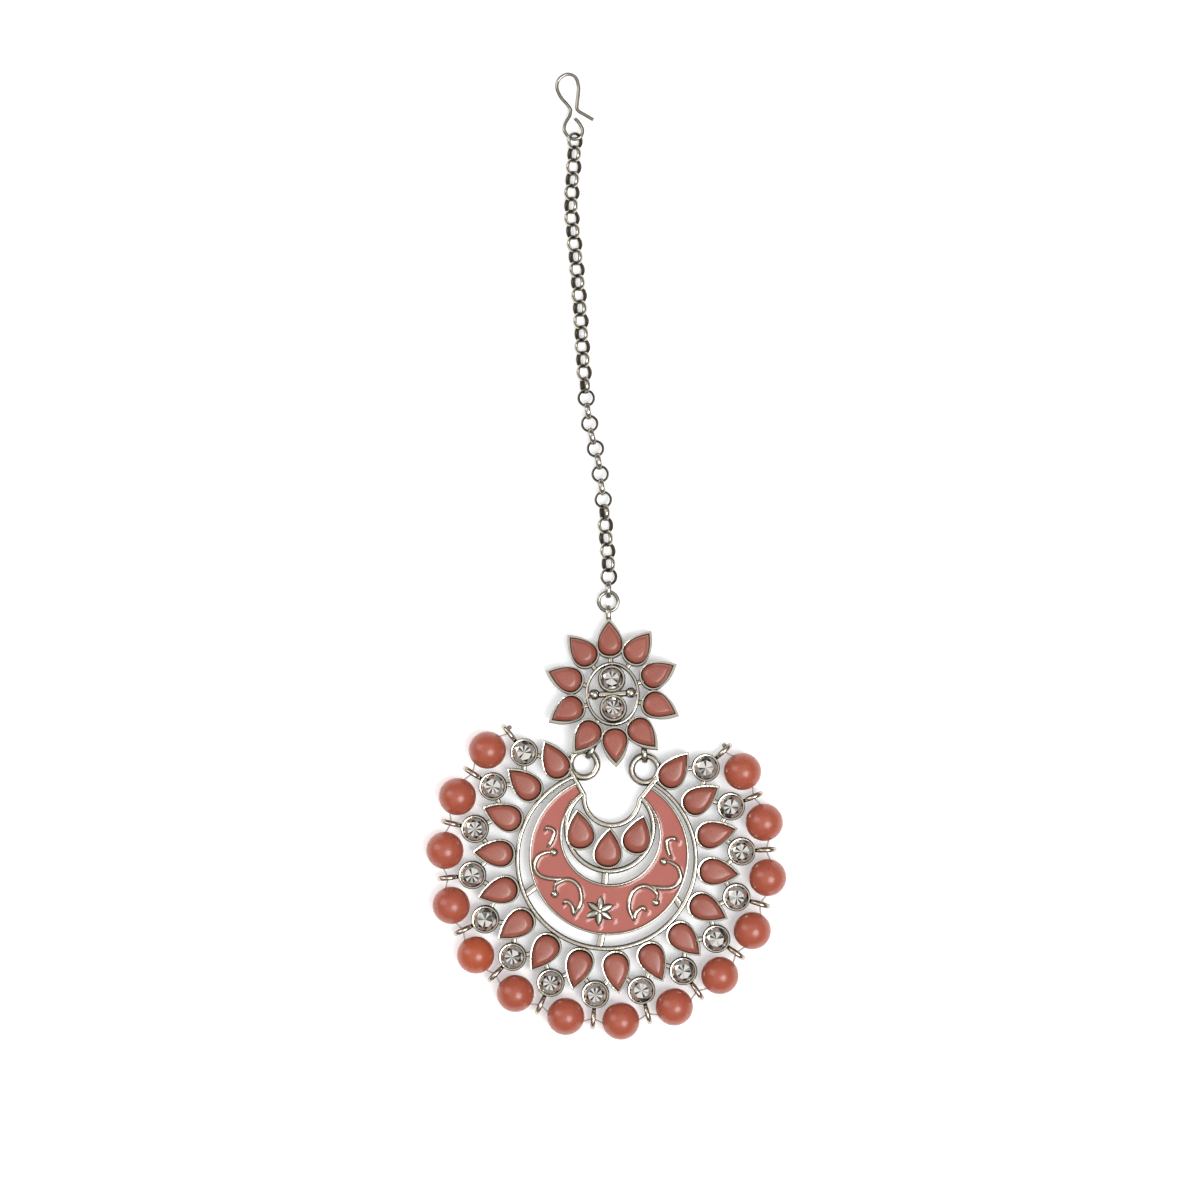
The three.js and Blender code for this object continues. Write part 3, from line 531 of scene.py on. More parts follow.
def enamel_looks(field):
    cloud = field.noise(3.2, detail=3.0)
    specks = field.noise(0.25, detail=2.0).between(0.62, 0.75)
    pour = field.noise(1.4)
    tint = cloud.colours((0.42, 0.122, 0.094, 1), (0.36, 0.095, 0.073, 1))
    return {
        "Base Color": (specks * 0.25).colours(tint, (0.24, 0.058, 0.042, 1)),
        "Roughness": (cloud * 0.12 + specks * 0.2).between(0.0, 0.4, 0.1, 0.4),
        "Normal": (pour + cloud * 0.4).bump(0.05, 0.35),
    }


enamel_paint = finish("poured_enamel", {"Coat Weight": 0.25, "Coat Roughness": 0.14, "IOR": 1.45}, enamel_looks)
enamel_mesh = mesh_of("enamel", [moved(tray_sheet(tray_rim, enamel_top, tray_floor + 0.2, 80, 420), crescent)], 70)
piece("enamel", enamel_mesh, enamel_paint, "enamel", "enamel_crescent")

# Pear settings
# Each stone sits in a cup with a thin upright wall and a rim rubbed down bright over its edge.
# The cups belong to the castings that they stand on, and are a little fuller near the tip than in the middle.
border_pear = {"width": 4.5, "length": 6.8}
petal_pear = {"width": 4.35, "length": 6.1}
inner_pear = {"width": 4.7, "length": 6.5}
cup_height, cup_floor, cup_wall = 2.2, 0.9, 0.25


def pear_rings(pear, profile, count=56):
    """Rings of a pear outline, tip towards +Y, for each share and height of a profile."""
    turns = np.radians(np.arange(count) * 360 / count)
    fullness = 3 * math.sqrt(3) / 4
    across = pear["width"] / 2 * fullness * np.sin(turns) * np.abs(np.sin(turns / 2))
    along = pear["length"] / 2 * np.cos(turns)
    return [np.column_stack([across * share, along * share, np.full(count, height)]) for share, height in profile]


def filled_out(rings, outside, tip, side):
    """The outside rings of a cup, drawn out at the tip and filled out between the tip and the middle."""
    for ring in rings[:outside]:
        share = (ring[:, 1] / ring[:, 1].max()).clip(0)
        ring[:, 1] += tip * share**4
        ring[:, 0] += np.sign(ring[:, 0]) * side * np.sin(np.pi * share**1.5)
    return rings


def pear_cup(pear, tip, side):
    wall = 2 * cup_wall / pear["width"]
    # Third value of each row: painted shade on the outer wall, at the outline below the rim and on the inner wall by
    # the stone; the rim top stays bright.
    profile = [(0.96, 0.0, 0.8), (0.99, 0.1, 0.55), (1.0, 1.7, 0.5), (0.992, 1.98, 0.8), (0.982, 2.14, 0.3),
               (1 - wall * 0.26, cup_height, 0.0), (1 - wall * 0.85, cup_height - 0.02, 0.0),
               (1 - wall * 1.05, 2.05, 0.9), (1 - wall, 1.7, 1.0), (1 - wall, cup_floor, 1.0)]
    outside = 6
    rings = filled_out(pear_rings(pear, [row[:2] for row in profile]), outside, tip, side)
    return skin(rings, [row[2] for row in profile])


def placing_tree():
    """Sets a piece down on each place, turned as its aim says. The marks of the places go with the copies."""
    tree = bpy.data.node_groups.new("Set down on places", "GeometryNodeTree")
    for name, kind in (("Places", "Geometry"), ("Piece", "Object"), ("Material", "Material")):
        tree.interface.new_socket(name, in_out="INPUT", socket_type=f"NodeSocket{kind}")
    tree.interface.new_socket("Pieces", in_out="OUTPUT", socket_type="NodeSocketGeometry")
    make, link = tree.nodes.new, tree.links.new
    given, result = make("NodeGroupInput"), make("NodeGroupOutput")
    model = make("GeometryNodeObjectInfo")
    aim = make("GeometryNodeInputNamedAttribute")
    aim.data_type = "FLOAT_VECTOR"
    aim.inputs["Name"].default_value = "aim"
    copies = make("GeometryNodeInstanceOnPoints")
    real = make("GeometryNodeRealizeInstances")
    painted = make("GeometryNodeSetMaterial")
    link(given.outputs["Piece"], model.inputs["Object"])
    link(given.outputs["Places"], copies.inputs["Points"])
    link(model.outputs["Geometry"], copies.inputs["Instance"])
    link(aim.outputs["Attribute"], copies.inputs["Rotation"])
    link(copies.outputs["Instances"], real.inputs["Geometry"])
    link(real.outputs["Geometry"], painted.inputs["Geometry"])
    link(given.outputs["Material"], painted.inputs["Material"])
    link(painted.outputs["Geometry"], result.inputs["Pieces"])
    return tree


placing = placing_tree()


def grown(carrier, tree, **values):
    """The plain mesh that a node tree grows on a carrier mesh."""
    holder = bpy.data.objects.new("grown", carrier)
    bpy.context.scene.collection.objects.link(holder)
    modifier = holder.modifiers.new("Grow", "NODES")
    modifier.node_group = tree
    sockets = {item.name: item.identifier for item in tree.interface.items_tree if item.in_out == "INPUT"}
    for name, value in values.items():
        modifier[sockets[name]] = value
    bpy.context.view_layer.update()
    graph = bpy.context.evaluated_depsgraph_get()
    mesh = bpy.data.meshes.new_from_object(holder.evaluated_get(graph), preserve_all_data_layers=True, depsgraph=graph)
    bpy.data.objects.remove(holder)
    return mesh


def set_down(name, form, places, material, batch=None):
    """One mesh of copies of a form, each moved by its matrix in millimetres and marked with its batch."""
    model = bpy.data.objects.new("model", form)
    bpy.context.scene.collection.objects.link(model)
    points = bpy.data.meshes.new(name)
    points.from_pydata([place.translation * MM for place in places], [], [])
    aim = points.attributes.new("aim", "FLOAT_VECTOR", "POINT")
    aim.data.foreach_set("vector", np.array([place.to_euler() for place in places]).reshape(-1))
    marks = np.random.default_rng(len(places)).random(len(places)) if batch is None else np.array(batch)
    points.attributes.new("batch", "FLOAT", "POINT").data.foreach_set("value", marks.astype(np.float32))
    mesh = grown(points, placing, Piece=model, Material=material)
    bpy.data.objects.remove(model)
    return mesh


def spot(x, y, turn=0.0, rise=0.0):
    return Matrix.Translation((x, y, rise)) @ Matrix.Rotation(math.radians(turn), 4, "Z")


border_pears, border_step = 16, 19.66
pear_circle = outer_ring["radius"] + border_pear["length"] / 2 - solder_lap / 2
pear_turns = [(i - (border_pears - 1) / 2) * border_step for i in range(border_pears)]
border_spots = [crescent @ spot(*from_foot(pear_circle, turn), turn + 180) for turn in pear_turns]
inner_side_x, inner_side_y, inner_side_turn = 4.55, 4.3, 12.6
inner_spots = [
    crescent @ spot(-inner_side_x, inner_side_y, inner_side_turn),
    crescent @ spot(0.1, 1.8),
    crescent @ spot(inner_side_x, inner_side_y, -inner_side_turn),
]
border_cups = set_down("border_cups", mesh_of("cup", [pear_cup(border_pear, 0.05, 0.14)]), border_spots, cast_silver)
piece("border_cups", border_cups, None, "silver", "pendant_frame")
inner_cups = set_down("inner_cups", mesh_of("cup", [pear_cup(inner_pear, 0.0, 0.12)]), inner_spots, cast_silver)
piece("inner_cups", inner_cups, None, "silver", "pendant_frame")

# Rosette casting
# Ten pear settings stand round an open oval ring, with two round cups on a spine down its middle and a
# crossbar with a ball at each side. An eyelet stands at its top, and two bails behind its lower petals.
rosette_across, rosette_along, rosette_rise = 0.92, 25.74, 1.542
rosette_turn, rosette_tilt = 2.9, -6.3
rosette = (
    Matrix.Translation((crescent_x + rosette_across, crescent_y + rosette_along, rosette_rise))
    @ Matrix.Rotation(math.radians(rosette_tilt), 4, "X")
    @ Matrix.Rotation(math.radians(rosette_turn), 4, "Z")
)
# Where each petal stands round the oval, clockwise from the top, and where its tip points
petal_turns = [(0, 0), (36, 39), (72, 66), (108, 118), (144, 140), (180, 180), (216, 220), (252, 242), (288, 294),
               (324, 321)]
petal_across, petal_along, petal_lift = 7.65, 8.4, 0.2
petal_spots = []
for at, points in petal_turns:
    x = petal_across * math.sin(math.radians(at))
    y = petal_along * math.cos(math.radians(at)) + petal_lift
    petal_spots.append(rosette @ spot(x, y, -points))
petal_cups = set_down("petal_cups", mesh_of("cup", [pear_cup(petal_pear, 0.25, 0.2)]), petal_spots, cast_silver)
piece("petal_cups", petal_cups, None, "silver", "rosette_frame")

oval_across, oval_along, oval_wall = 4.25, 5.0, 0.5
half_wall = oval_wall / 2


def on_oval(degrees):
    turn = math.radians(degrees)
    return np.array([(oval_across - half_wall) * math.sin(turn), (oval_along - half_wall) * math.cos(turn)])


core = [swept([on_oval(degrees) for degrees in range(0, 360, 4)], round_bar(oval_wall, frame_height, 0.2), loop=True)]
for at, _ in petal_turns:
    outer_end = (petal_across * math.sin(math.radians(at)) * 0.8,
                 petal_along * math.cos(math.radians(at)) * 0.8 + petal_lift)
    core.append(bar(on_oval(at), outer_end, 0.8, 1.15))
core.append(bar(on_oval(-90), on_oval(90), 0.9, 1.8))
core.append(bar(on_oval(0), on_oval(180), 0.8, 0.85))
ball_at, ball_radius = 2.85, 0.85
for side in (-1, 1):
    dome = [(ball_radius * math.cos(t), ball_radius * math.sin(t)) for t in np.linspace(-1.5, 1.5, 17)]
    # Painted shade on the lower half of each ball.
    ball = turned(dome, 28, list(np.linspace(1, -0.4, 17).clip(0)))
    core.append(moved(ball, Matrix.Translation((side * ball_at, 0, frame_height))))
cup_reach, round_cup = 2.3, 4.3


def crystal_cup(across, height, girdle):
    """A round cup whose inside is a bright cone of foil under the stone."""
    outer = across / 2
    inner = girdle / 2 + 0.04
    # Third value of each row: painted shade on the outer wall and on the inner wall by the stone; the rim and the foil
    # cone stay bright.
    profile = [(outer * 0.96, 0.0, 0.8), (outer, 0.12, 0.6), (outer, height * 0.45, 0.5), (outer, height - 0.3, 0.8),
               (outer - 0.08, height - 0.08, 0.35), (outer - 0.16, height, 0.0), (inner + 0.04, height - 0.02, 0.0),
               (inner, height - 0.3, 0.95), (inner * 0.96, height - 0.55, 1.0), (inner * 0.5, height - 1.3, 0.2),
               (0.05, height - 1.6, 0.0)]
    return turned([row[:2] for row in profile], 40, [row[2] for row in profile])


crystal_cup_height = 2.4
for side in (-1, 1):
    core.append(moved(crystal_cup(round_cup, crystal_cup_height, 3.4), Matrix.Translation((0, side * cup_reach, 0))))

eyelet_half, eyelet_rise, eyelet_wire, eyelet_across = 1.35, 1.05, 0.5, 0.8
petal_reach = petal_along + petal_lift + petal_pear["length"] / 2
eyelet_at = petal_reach + eyelet_half - 2 * solder_lap
on_edge = Matrix.Rotation(math.radians(90), 4, "Y")
eyelet = moved(hoop(eyelet_half - eyelet_wire / 2, eyelet_wire, eyelet_across, lit_side=0), on_edge)
squash = Matrix.Diagonal((1, 1, eyelet_rise / eyelet_half, 1))
core.append(moved(eyelet, Matrix.Translation((0, eyelet_at, eyelet_rise)) @ squash))
core = [moved(part, rosette) for part in core]

bail_inner, bail_wire, bail_width = 1.13, 0.5, 0.9
for side, turn in ((-1, -24), (1, 7)):
    reach = horn_radius + bail_inner - horn_wire / 2 - 0.2
    x, y = np.array([side * horn_x, horn_y]) + from_foot(reach, 180 + turn)
    place = crescent @ Matrix.Translation((x, y, horn_wire / 2)) @ Matrix.Rotation(math.radians(turn), 4, "Z")
    core.append(moved(hoop(bail_inner + bail_wire / 2, bail_wire, bail_width, lit_side=0), place @ on_edge))
piece("rosette_core", mesh_of("rosette_core", core), cast_silver, "silver", "rosette_frame")

# Border crystal cups and thread loops
# A round cup stands in each gap between the border pears, and outside it a cast loop on edge for the thread.
# Short bars in the plane of the backs join each cup to the pears on either side.
crystal_out, crystal_across = 3.5, 4.4
crystal_circle = pear_circle + crystal_out
loop_half, loop_rise, loop_half_height, loop_wire = 1.75, 1.35, 1.55, 0.7
loop_circle = crystal_circle + crystal_across / 2 + loop_half - solder_lap
crystal_turns = [turn + border_step / 2 for turn in pear_turns[:-1]]
crystal_spots = [crescent @ spot(*from_foot(crystal_circle, turn), turn) for turn in crystal_turns]
loop_spots = [crescent @ spot(*from_foot(loop_circle, turn), turn) for turn in crystal_turns]
small_cup = mesh_of("cup", [crystal_cup(crystal_across, crystal_cup_height, 3.6)])
piece("crystal_cups", set_down("crystal_cups", small_cup, crystal_spots, cast_silver), None, "silver", "pendant_frame")
cast_loop = moved(
    hoop(loop_half - loop_wire / 2, loop_wire, loop_wire, lit_side=0),
    Matrix.Translation((0, 0, loop_rise)) @ Matrix.Diagonal((1, 1, loop_half_height / loop_half, 1)) @ on_edge,
)
# A warmer copy of the plated silver, with more tarnish, for the thread loops.
warm_tarnished_silver = finish(
    "warm_tarnished_silver", {"Metallic": 1.0}, silver_plate((0.60, 0.52, 0.43), (0.10, 0.075, 0.055), 0.8, 0.6)
)
thread_loops = set_down("thread_loops", mesh_of("loop", [cast_loop]), loop_spots, warm_tarnished_silver)
piece("thread_loops", thread_loops, None, "silver", "pendant_frame")
bars = []
for i, turn in enumerate(crystal_turns):
    for neighbour in (pear_turns[i], pear_turns[i + 1]):
        bars.append(moved(bar(from_foot(crystal_circle, turn), from_foot(pear_circle, neighbour), 0.8, 1.0), crescent))
piece("border_bars", mesh_of("border_bars", bars), cast_silver, "silver", "pendant_frame")

# Pear stones
# Moulded opaque resin in coral, with a low dome, a flat pear table and a soft bevel round it.
# A dark red-brown painted shade lies on each stone's sides and bevel, in the gap to its rim.
stone_bottom = cup_floor + 0.2


def pear_stone(pear):
    share = 1 - 2 * cup_wall / pear["width"]
    room = {"width": pear["width"] * share - 0.16, "length": pear["length"] * share - 0.24}
    # Third value of each row: painted shade, full on the sides and fading over the bevel; the table stays bright.
    profile = [(0.97, 0.0, 1.0), (1.0, 0.1, 1.0), (1.0, 1.0, 1.0), (0.99, 1.22, 0.95), (0.955, 1.37, 0.45),
               (0.90, 1.52, 0.1), (0.80, 1.70, 0.0), (0.70, 1.83, 0.0), (0.635, 1.895, 0.0), (0.60, 1.92, 0.0),
               (0.55, 1.935, 0.0), (0.35, 1.965, 0.0), (0.1, 1.98, 0.0)]
    rows = [(share, stone_bottom + height) for share, height, _ in profile]
    return skin(pear_rings(room, rows), [row[2] for row in profile])


def resin_looks(pale, deep, glue_and_gap_shade):
    def vary(field):
        cloud = field.noise(2.1, detail=3.0)
        mottle = field.noise(0.5, detail=3.0, roughness=0.6)
        scuffs = field.noise(0.12, detail=2.0).between(0.5, 0.8)
        edge = field.attribute("shade_patina_and_glue")
        batch = field.attribute("batch")
        body = (cloud * 0.5 + mottle * 0.2 + batch * 0.4 - 0.1).colours((*pale, 1), (*deep, 1))
        return {
            # Painted shade, dark red-brown, where each stone meets its rim.
            "Base Color": edge.colours(body, (*glue_and_gap_shade, 1)),
            "Roughness": (mottle * 0.15 + scuffs * 0.12 + 0.22).between(0.0, 0.6, 0.0, 0.6),
            "Normal": (cloud + scuffs * 0.2 + mottle * 0.3).bump(0.03, 0.5),
        }

    return vary


coral_resin = finish(
    "coral_resin", {"Coat Weight": 0.15, "Coat Roughness": 0.2, "Subsurface Weight": 0.12, "Subsurface Scale": 0.0006},
    resin_looks((0.345, 0.106, 0.072), (0.26, 0.060, 0.037), (0.06, 0.012, 0.008)),
)
for name, pear, spots, nodes in (
    ("border_stones", border_pear, border_spots, [f"border_pear_{i:02d}" for i in range(1, 17)]),
    ("petal_stones", petal_pear, petal_spots, [f"rosette_pear_{i:02d}" for i in range(1, 11)]),
    ("inner_stones", inner_pear, inner_spots, ["inner_pear_left", "inner_pear_middle", "inner_pear_right"]),
):
    stones = set_down(name, mesh_of("stone", [pear_stone(pear)], 80), spots, coral_resin)
    piece(name, stones, None, "coral_stone", *nodes)

# Crystals
# Machine-cut glass brilliants with foiled backs, pressed into the round cups up to their girdles.
# The light that the foil throws back is painted: each facet of the eight kites, eight stars and the table is painted
# bright or dark as a painted reflection.


def brilliant(girdle, table, crown, height):
    """A round brilliant whose girdle lies at a height, its faces marked with painted reflections, bright or dark."""

    def ring(radius, level, count, offset=0.0):
        turns = np.radians((np.arange(count) + offset) * 360 / count)
        return [(radius * math.cos(t), radius * math.sin(t), level) for t in turns]

    points = ring(table, height + crown, 8) + ring(table * 0.42 + girdle * 0.58, height + crown * 0.52, 8, 0.5)
    points += ring(girdle, height, 16) + ring(girdle, height - 0.5, 16)
    points += ring(table * 0.88, height + crown, 8, 0.5) + [(0, 0, height + crown)]
    table_at, star_at, top_at, low_at, back_at, culet = 0, 8, 16, 32, 48, 56
    faces = [tuple(range(low_at, low_at + 16))]
    painted_glint = [1.0, 0.1, 0.75, 0.6, 0.95, 0.6, 0.75, 0.9, 0.9] * 8
    for k in range(8):
        after, star, star_before = (k + 1) % 8, star_at + k, star_at + (k - 1) % 8
        back, back_before = back_at + k, back_at + (k - 1) % 8
        even, odd, far = 2 * k, 2 * k + 1, (2 * k + 2) % 16
        faces.append((culet, back_before, table_at + k))
        faces.append((culet, table_at + k, back))
        faces.append((back, table_at + k, table_at + after))
        faces.append((table_at + k, star, table_at + after))
        faces.append((table_at + k, star_before, top_at + even, star))
        faces.append((star, top_at + even, top_at + odd))
        faces.append((star, top_at + odd, top_at + far))
        faces.append((top_at + even, low_at + even, low_at + odd, top_at + odd))
        faces.append((top_at + odd, low_at + odd, low_at + far, top_at + far))
    mesh = mesh_of("brilliant", [(np.array(points), faces, np.zeros(len(points)))], 3)
    chance = np.random.default_rng(7).random(len(faces))
    mesh.attributes.new("painted_glint", "FLOAT", "FACE").data.foreach_set("value", np.array([0.6] + painted_glint, dtype=np.float32))
    mesh.attributes.new("chance", "FLOAT", "FACE").data.foreach_set("value", chance.astype(np.float32))
    mesh.shade_flat()
    return mesh


def crystal_looks(field):
    wisps = field.noise(0.9, detail=2.0)
    chance = field.math("FRACT", field.attribute("chance") + field.attribute("batch") * 5.3)
    # Each facet is painted bright or dark, as a painted reflection of the foil.
    glint_share = field.attribute("painted_glint") * 0.38 + chance * 0.62
    clear = wisps.colours((0.90, 0.87, 0.81, 1), (0.62, 0.58, 0.53, 1))
    return {
        "Base Color": glint_share.between(0.34, 0.54).colours((0.03, 0.022, 0.018, 1), clear),
        "Roughness": wisps.between(0.3, 0.9, 0.03, 0.1),
    }


cut_crystal = finish(
    "cut_crystal", {"Metallic": 0.85, "Coat Weight": 1.0, "Coat Roughness": 0.02, "Coat IOR": 1.6}, crystal_looks
)
small_crystal = brilliant(1.8, 1.2, 0.5, crystal_cup_height - 0.2)
border_crystals = set_down("border_crystals", small_crystal, crystal_spots, cut_crystal)
piece("border_crystals", border_crystals, None, "crystal", "pendant_frame")
large_crystal = brilliant(1.7, 1.15, 0.55, crystal_cup_height)
rosette_spots = [rosette @ spot(0, side * cup_reach) for side in (-1, 1)]
rosette_crystals = set_down("rosette_crystals", large_crystal, rosette_spots, cut_crystal, [0.15, 0.6])
piece("rosette_crystals", rosette_crystals, None, "crystal", "rosette_crystal_upper", "rosette_crystal_lower")

# Beads
# Pressed round beads in slightly cloudy coral glass, each drilled for the thread, one more orange than the rest.
bead_radius, bead_bore, bead_rows = 2.925, 0.4, 30
bead_start = math.asin(bead_bore / bead_radius)
bead_turns = np.linspace(bead_start, math.pi - bead_start, bead_rows)
bead_around = np.radians(np.arange(48) * 7.5)
bead_rings = [
    np.column_stack([bead_radius * math.sin(t) * np.cos(bead_around), bead_radius * math.sin(t) * np.sin(bead_around),
                     np.full(48, -bead_radius * math.cos(t))])
    for t in bead_turns
]
bead_form = skin(bead_rings, 0.0, loop=True)
along_row = Matrix.Rotation(math.radians(90), 4, "X")
bead_out = 0.375
bead_circle = loop_circle + bead_out
bead_spots = []
for place in bead_places:
    turn = math.atan2(place.x - crescent_x, crescent_y - place.y)
    bead_spots.append(Matrix.Translation(place) @ Matrix.Rotation(turn - math.pi / 2, 4, "Z") @ along_row)


def bead_looks(field):
    cloud = field.noise(3.5, detail=3.0)
    veil = field.noise(0.8, detail=3.0, roughness=0.6)
    batch = field.attribute("batch")
    body = (cloud * 0.6 + veil * 0.3 - 0.15).colours((0.40, 0.094, 0.052, 1), (0.31, 0.064, 0.032, 1))
    orange = batch.between(0.7, 1.0)
    return {
        "Base Color": orange.colours(body, (0.41, 0.085, 0.034, 1)),
        "Roughness": (veil * 0.12 + 0.22).between(0.0, 0.5, 0.0, 0.5),
        "Normal": (cloud + veil * 0.2).bump(0.03, 0.4),
    }


bead_glass = finish(
    "cloudy_coral", {"Coat Weight": 0.12, "Coat Roughness": 0.2, "Subsurface Weight": 0.35, "Subsurface Scale": 0.0015},
    bead_looks,
)
orange_bead = 5
bead_batch = [1.0 if i == orange_bead else 0.65 * (i % 3) / 2 for i in range(1, BEADS + 1)]
beads = set_down("beads", mesh_of("bead", [bead_form], 80), bead_spots, bead_glass, bead_batch)
piece("beads", beads, None, "coral_bead", *bead_nodes)

# Thread
# A fine pale thread runs straight through each bead and bends in each loop. It is knotted and glued at the
# outer loops, and the glue covers the knots and the cut ends.
thread_radius, knot_radius = 0.13, 0.4


def thread_looks(field):
    fibre = field.noise(0.15, detail=4.0, roughness=0.7)
    glue_and_gap_shade = field.attribute("shade_patina_and_glue")
    cotton = fibre.colours((0.50, 0.47, 0.44, 1), (0.30, 0.27, 0.25, 1))
    return {
        "Base Color": glue_and_gap_shade.colours(cotton, (0.26, 0.22, 0.19, 1)),
        "Roughness": (fibre * 0.3 - glue_and_gap_shade * 0.35 + 0.55).between(0.0, 1.0, 0.1, 0.9),
        "Normal": fibre.bump(0.03, 0.8),
    }


strand = []
for i, turn in enumerate(crystal_turns):
    if i > 0:
        hole = from_foot(bead_circle, pear_turns[i])
        along = from_foot(bead_radius, pear_turns[i] + 90)
        strand += [hole - along, hole + along]
    strand.append(from_foot(loop_circle, turn))
knot_circle = loop_circle + 0.7
knot_gap = math.degrees((loop_wire / 2 + 0.65 * knot_radius) / knot_circle)
knots = [from_foot(knot_circle, crystal_turns[0] - knot_gap), from_foot(knot_circle, crystal_turns[-1] + knot_gap)]
strand = [knots[0], *strand, knots[1]]
thread_parts = [swept([(x, y, bead_radius) for x, y in strand], wire_section(2 * thread_radius, 2 * thread_radius, 8))]
thread_parts[0][2][:] = 0
random = np.random.default_rng(3)
for x, y in knots:
    lumps = [(knot_radius * math.cos(t), knot_radius * math.sin(t)) for t in np.linspace(-1.5, 1.5, 9)]
    points, faces, shades = turned(lumps, 14, [1.0] * 9)
    points = points * random.uniform(0.75, 1.0, len(points))[:, None]
    thread_parts.append((points + (x, y, bead_radius), faces, shades))
turn_only = crescent.copy()
turn_only.translation.z = 0
piece("strung_thread", mesh_of("strung_thread", [moved(part, turn_only) for part in thread_parts], 80),
      finish("cotton_thread", {}, thread_looks), "thread", "bead_thread")

# Jump ring
# A ring of bent wire joins the rosette's eyelet to the first link.
ring_radius, ring_wire = 1.5, 0.6
ring_place = middle("jump_ring")
bright_wire = finish(
    "wire_silver", {"Metallic": 1.0}, silver_plate((0.53, 0.50, 0.435), (0.08, 0.066, 0.053), 0.8, 0.6)
)
jump_ring = moved(hoop(ring_radius, ring_wire, ring_wire), Matrix.Translation(ring_place))
dull_wire = finish(
    "dull_silver", {"Metallic": 1.0}, silver_plate((0.34, 0.315, 0.27), (0.06, 0.05, 0.04), 0.8, 0.6)
)
piece("joining_ring", mesh_of("joining_ring", [jump_ring]), dull_wire, "silver", "jump_ring")

# Chain
# Round links of flattened wire, each turned across the one before. They are rolled on their sides, but for a
# short stretch near the pendant that lies flat.
# The first holds the jump ring and the last holds the hook's eye.
chain_links = 36
link_radius, link_wire, link_band = 1.22, 0.44, 0.85
chain_radius = 1.45
# Across and along from where the chain leaves the jump ring
chain_route = [(0, 0), (0.03, 4.2), (-0.39, 8.3), (-0.63, 12.4), (-1.1, 16.4), (-1.65, 20.5), (-2.7, 24.5),
               (-3.5, 30.25), (-4, 36.5), (-4.36, 42.6), (-4.84, 48.9), (-5.4, 54.9), (-5.8, 59.1), (-5.67, 63.2),
               (-5.4, 66.8), (-5.27, 69.9)]
chain_start = np.array([ring_place.x, ring_place.y + ring_radius + ring_wire / 2 + 0.2])
route = smooth_path(np.array(chain_route) + chain_start, 200)
lead = 0.11
route[0] -= (0, lead)
route[-1] += (0, lead + 0.03)


def chain_tree():
    """Links set along a path, each rolled across the one before."""
    tree = bpy.data.node_groups.new("Chain", "GeometryNodeTree")
    for name, kind in (("Path", "Geometry"), ("Link", "Object"), ("Links", "Int"), ("Roll", "Float"),
                       ("Flat from", "Int"), ("Flat to", "Int"), ("Material", "Material")):
        tree.interface.new_socket(name, in_out="INPUT", socket_type=f"NodeSocket{kind}")
    tree.interface.new_socket("Chain", in_out="OUTPUT", socket_type="NodeSocketGeometry")
    make, link = tree.nodes.new, tree.links.new
    given, result = make("NodeGroupInput"), make("NodeGroupOutput")

    def maths(operation, first, second):
        made = make("ShaderNodeMath")
        made.operation = operation
        for socket, value in zip(made.inputs, (first, second)):
            if isinstance(value, (int, float)):
                socket.default_value = value
            else:
                link(value, socket)
        return made.outputs[0]

    curve = make("GeometryNodeMeshToCurve")
    points = make("GeometryNodeCurveToPoints")
    model = make("GeometryNodeObjectInfo")
    index = make("GeometryNodeInputIndex").outputs[0]
    copies = make("GeometryNodeInstanceOnPoints")
    aim = make("FunctionNodeAxesToRotation")
    aim.primary_axis, aim.secondary_axis = "Y", "Z"
    rolled = make("FunctionNodeRotateRotation")
    rolled.rotation_space = "LOCAL"
    roll = make("FunctionNodeAxisAngleToRotation")
    roll.inputs["Axis"].default_value = (0, 1, 0)
    real = make("GeometryNodeRealizeInstances")
    painted = make("GeometryNodeSetMaterial")
    across = maths("MULTIPLY", maths("MODULO", index, 2), math.radians(90))
    before = maths("SUBTRACT", given.outputs["Flat from"], index)
    after = maths("SUBTRACT", index, given.outputs["Flat to"])
    away = maths("MINIMUM", maths("MAXIMUM", maths("MAXIMUM", before, after), 0), index)
    twist = maths("MULTIPLY", maths("MINIMUM", maths("MULTIPLY", away, 0.5), 1), given.outputs["Roll"])
    link(given.outputs["Path"], curve.inputs["Mesh"])
    link(curve.outputs["Curve"], points.inputs["Curve"])
    link(given.outputs["Links"], points.inputs["Count"])
    link(given.outputs["Link"], model.inputs["Object"])
    link(points.outputs["Points"], copies.inputs["Points"])
    link(model.outputs["Geometry"], copies.inputs["Instance"])
    link(points.outputs["Tangent"], aim.inputs["Primary Axis"])
    aim.inputs["Secondary Axis"].default_value = (0, 0, 1)
    link(maths("ADD", across, twist), roll.inputs["Angle"])
    link(aim.outputs["Rotation"], rolled.inputs["Rotation"])
    link(roll.outputs["Rotation"], rolled.inputs["Rotate By"])
    link(rolled.outputs["Rotation"], copies.inputs["Rotation"])
    link(copies.outputs["Instances"], real.inputs["Geometry"])
    link(real.outputs["Geometry"], painted.inputs["Geometry"])
    link(given.outputs["Material"], painted.inputs["Material"])
    link(painted.outputs["Geometry"], result.inputs["Chain"])
    return tree


path = bpy.data.meshes.new("path")
path.from_pydata([(x * MM, y * MM, chain_radius * MM) for x, y in route],
                 [(i, i + 1) for i in range(len(route) - 1)], [])
link_mesh = mesh_of("link", [moved(hoop(link_radius, link_wire, link_band, steps=28, lit_side=0),
                                   Matrix.Rotation(math.radians(90), 4, "Y"))])
link_model = bpy.data.objects.new("link", link_mesh)
bpy.context.scene.collection.objects.link(link_model)
chain_mesh = grown(path, chain_tree(), **{
    "Link": link_model, "Links": chain_links, "Roll": math.radians(38), "Flat from": 7, "Flat to": 15,
    "Material": bright_wire,
})
bpy.data.objects.remove(link_model)
piece("links", chain_mesh, None, "silver", "chain")

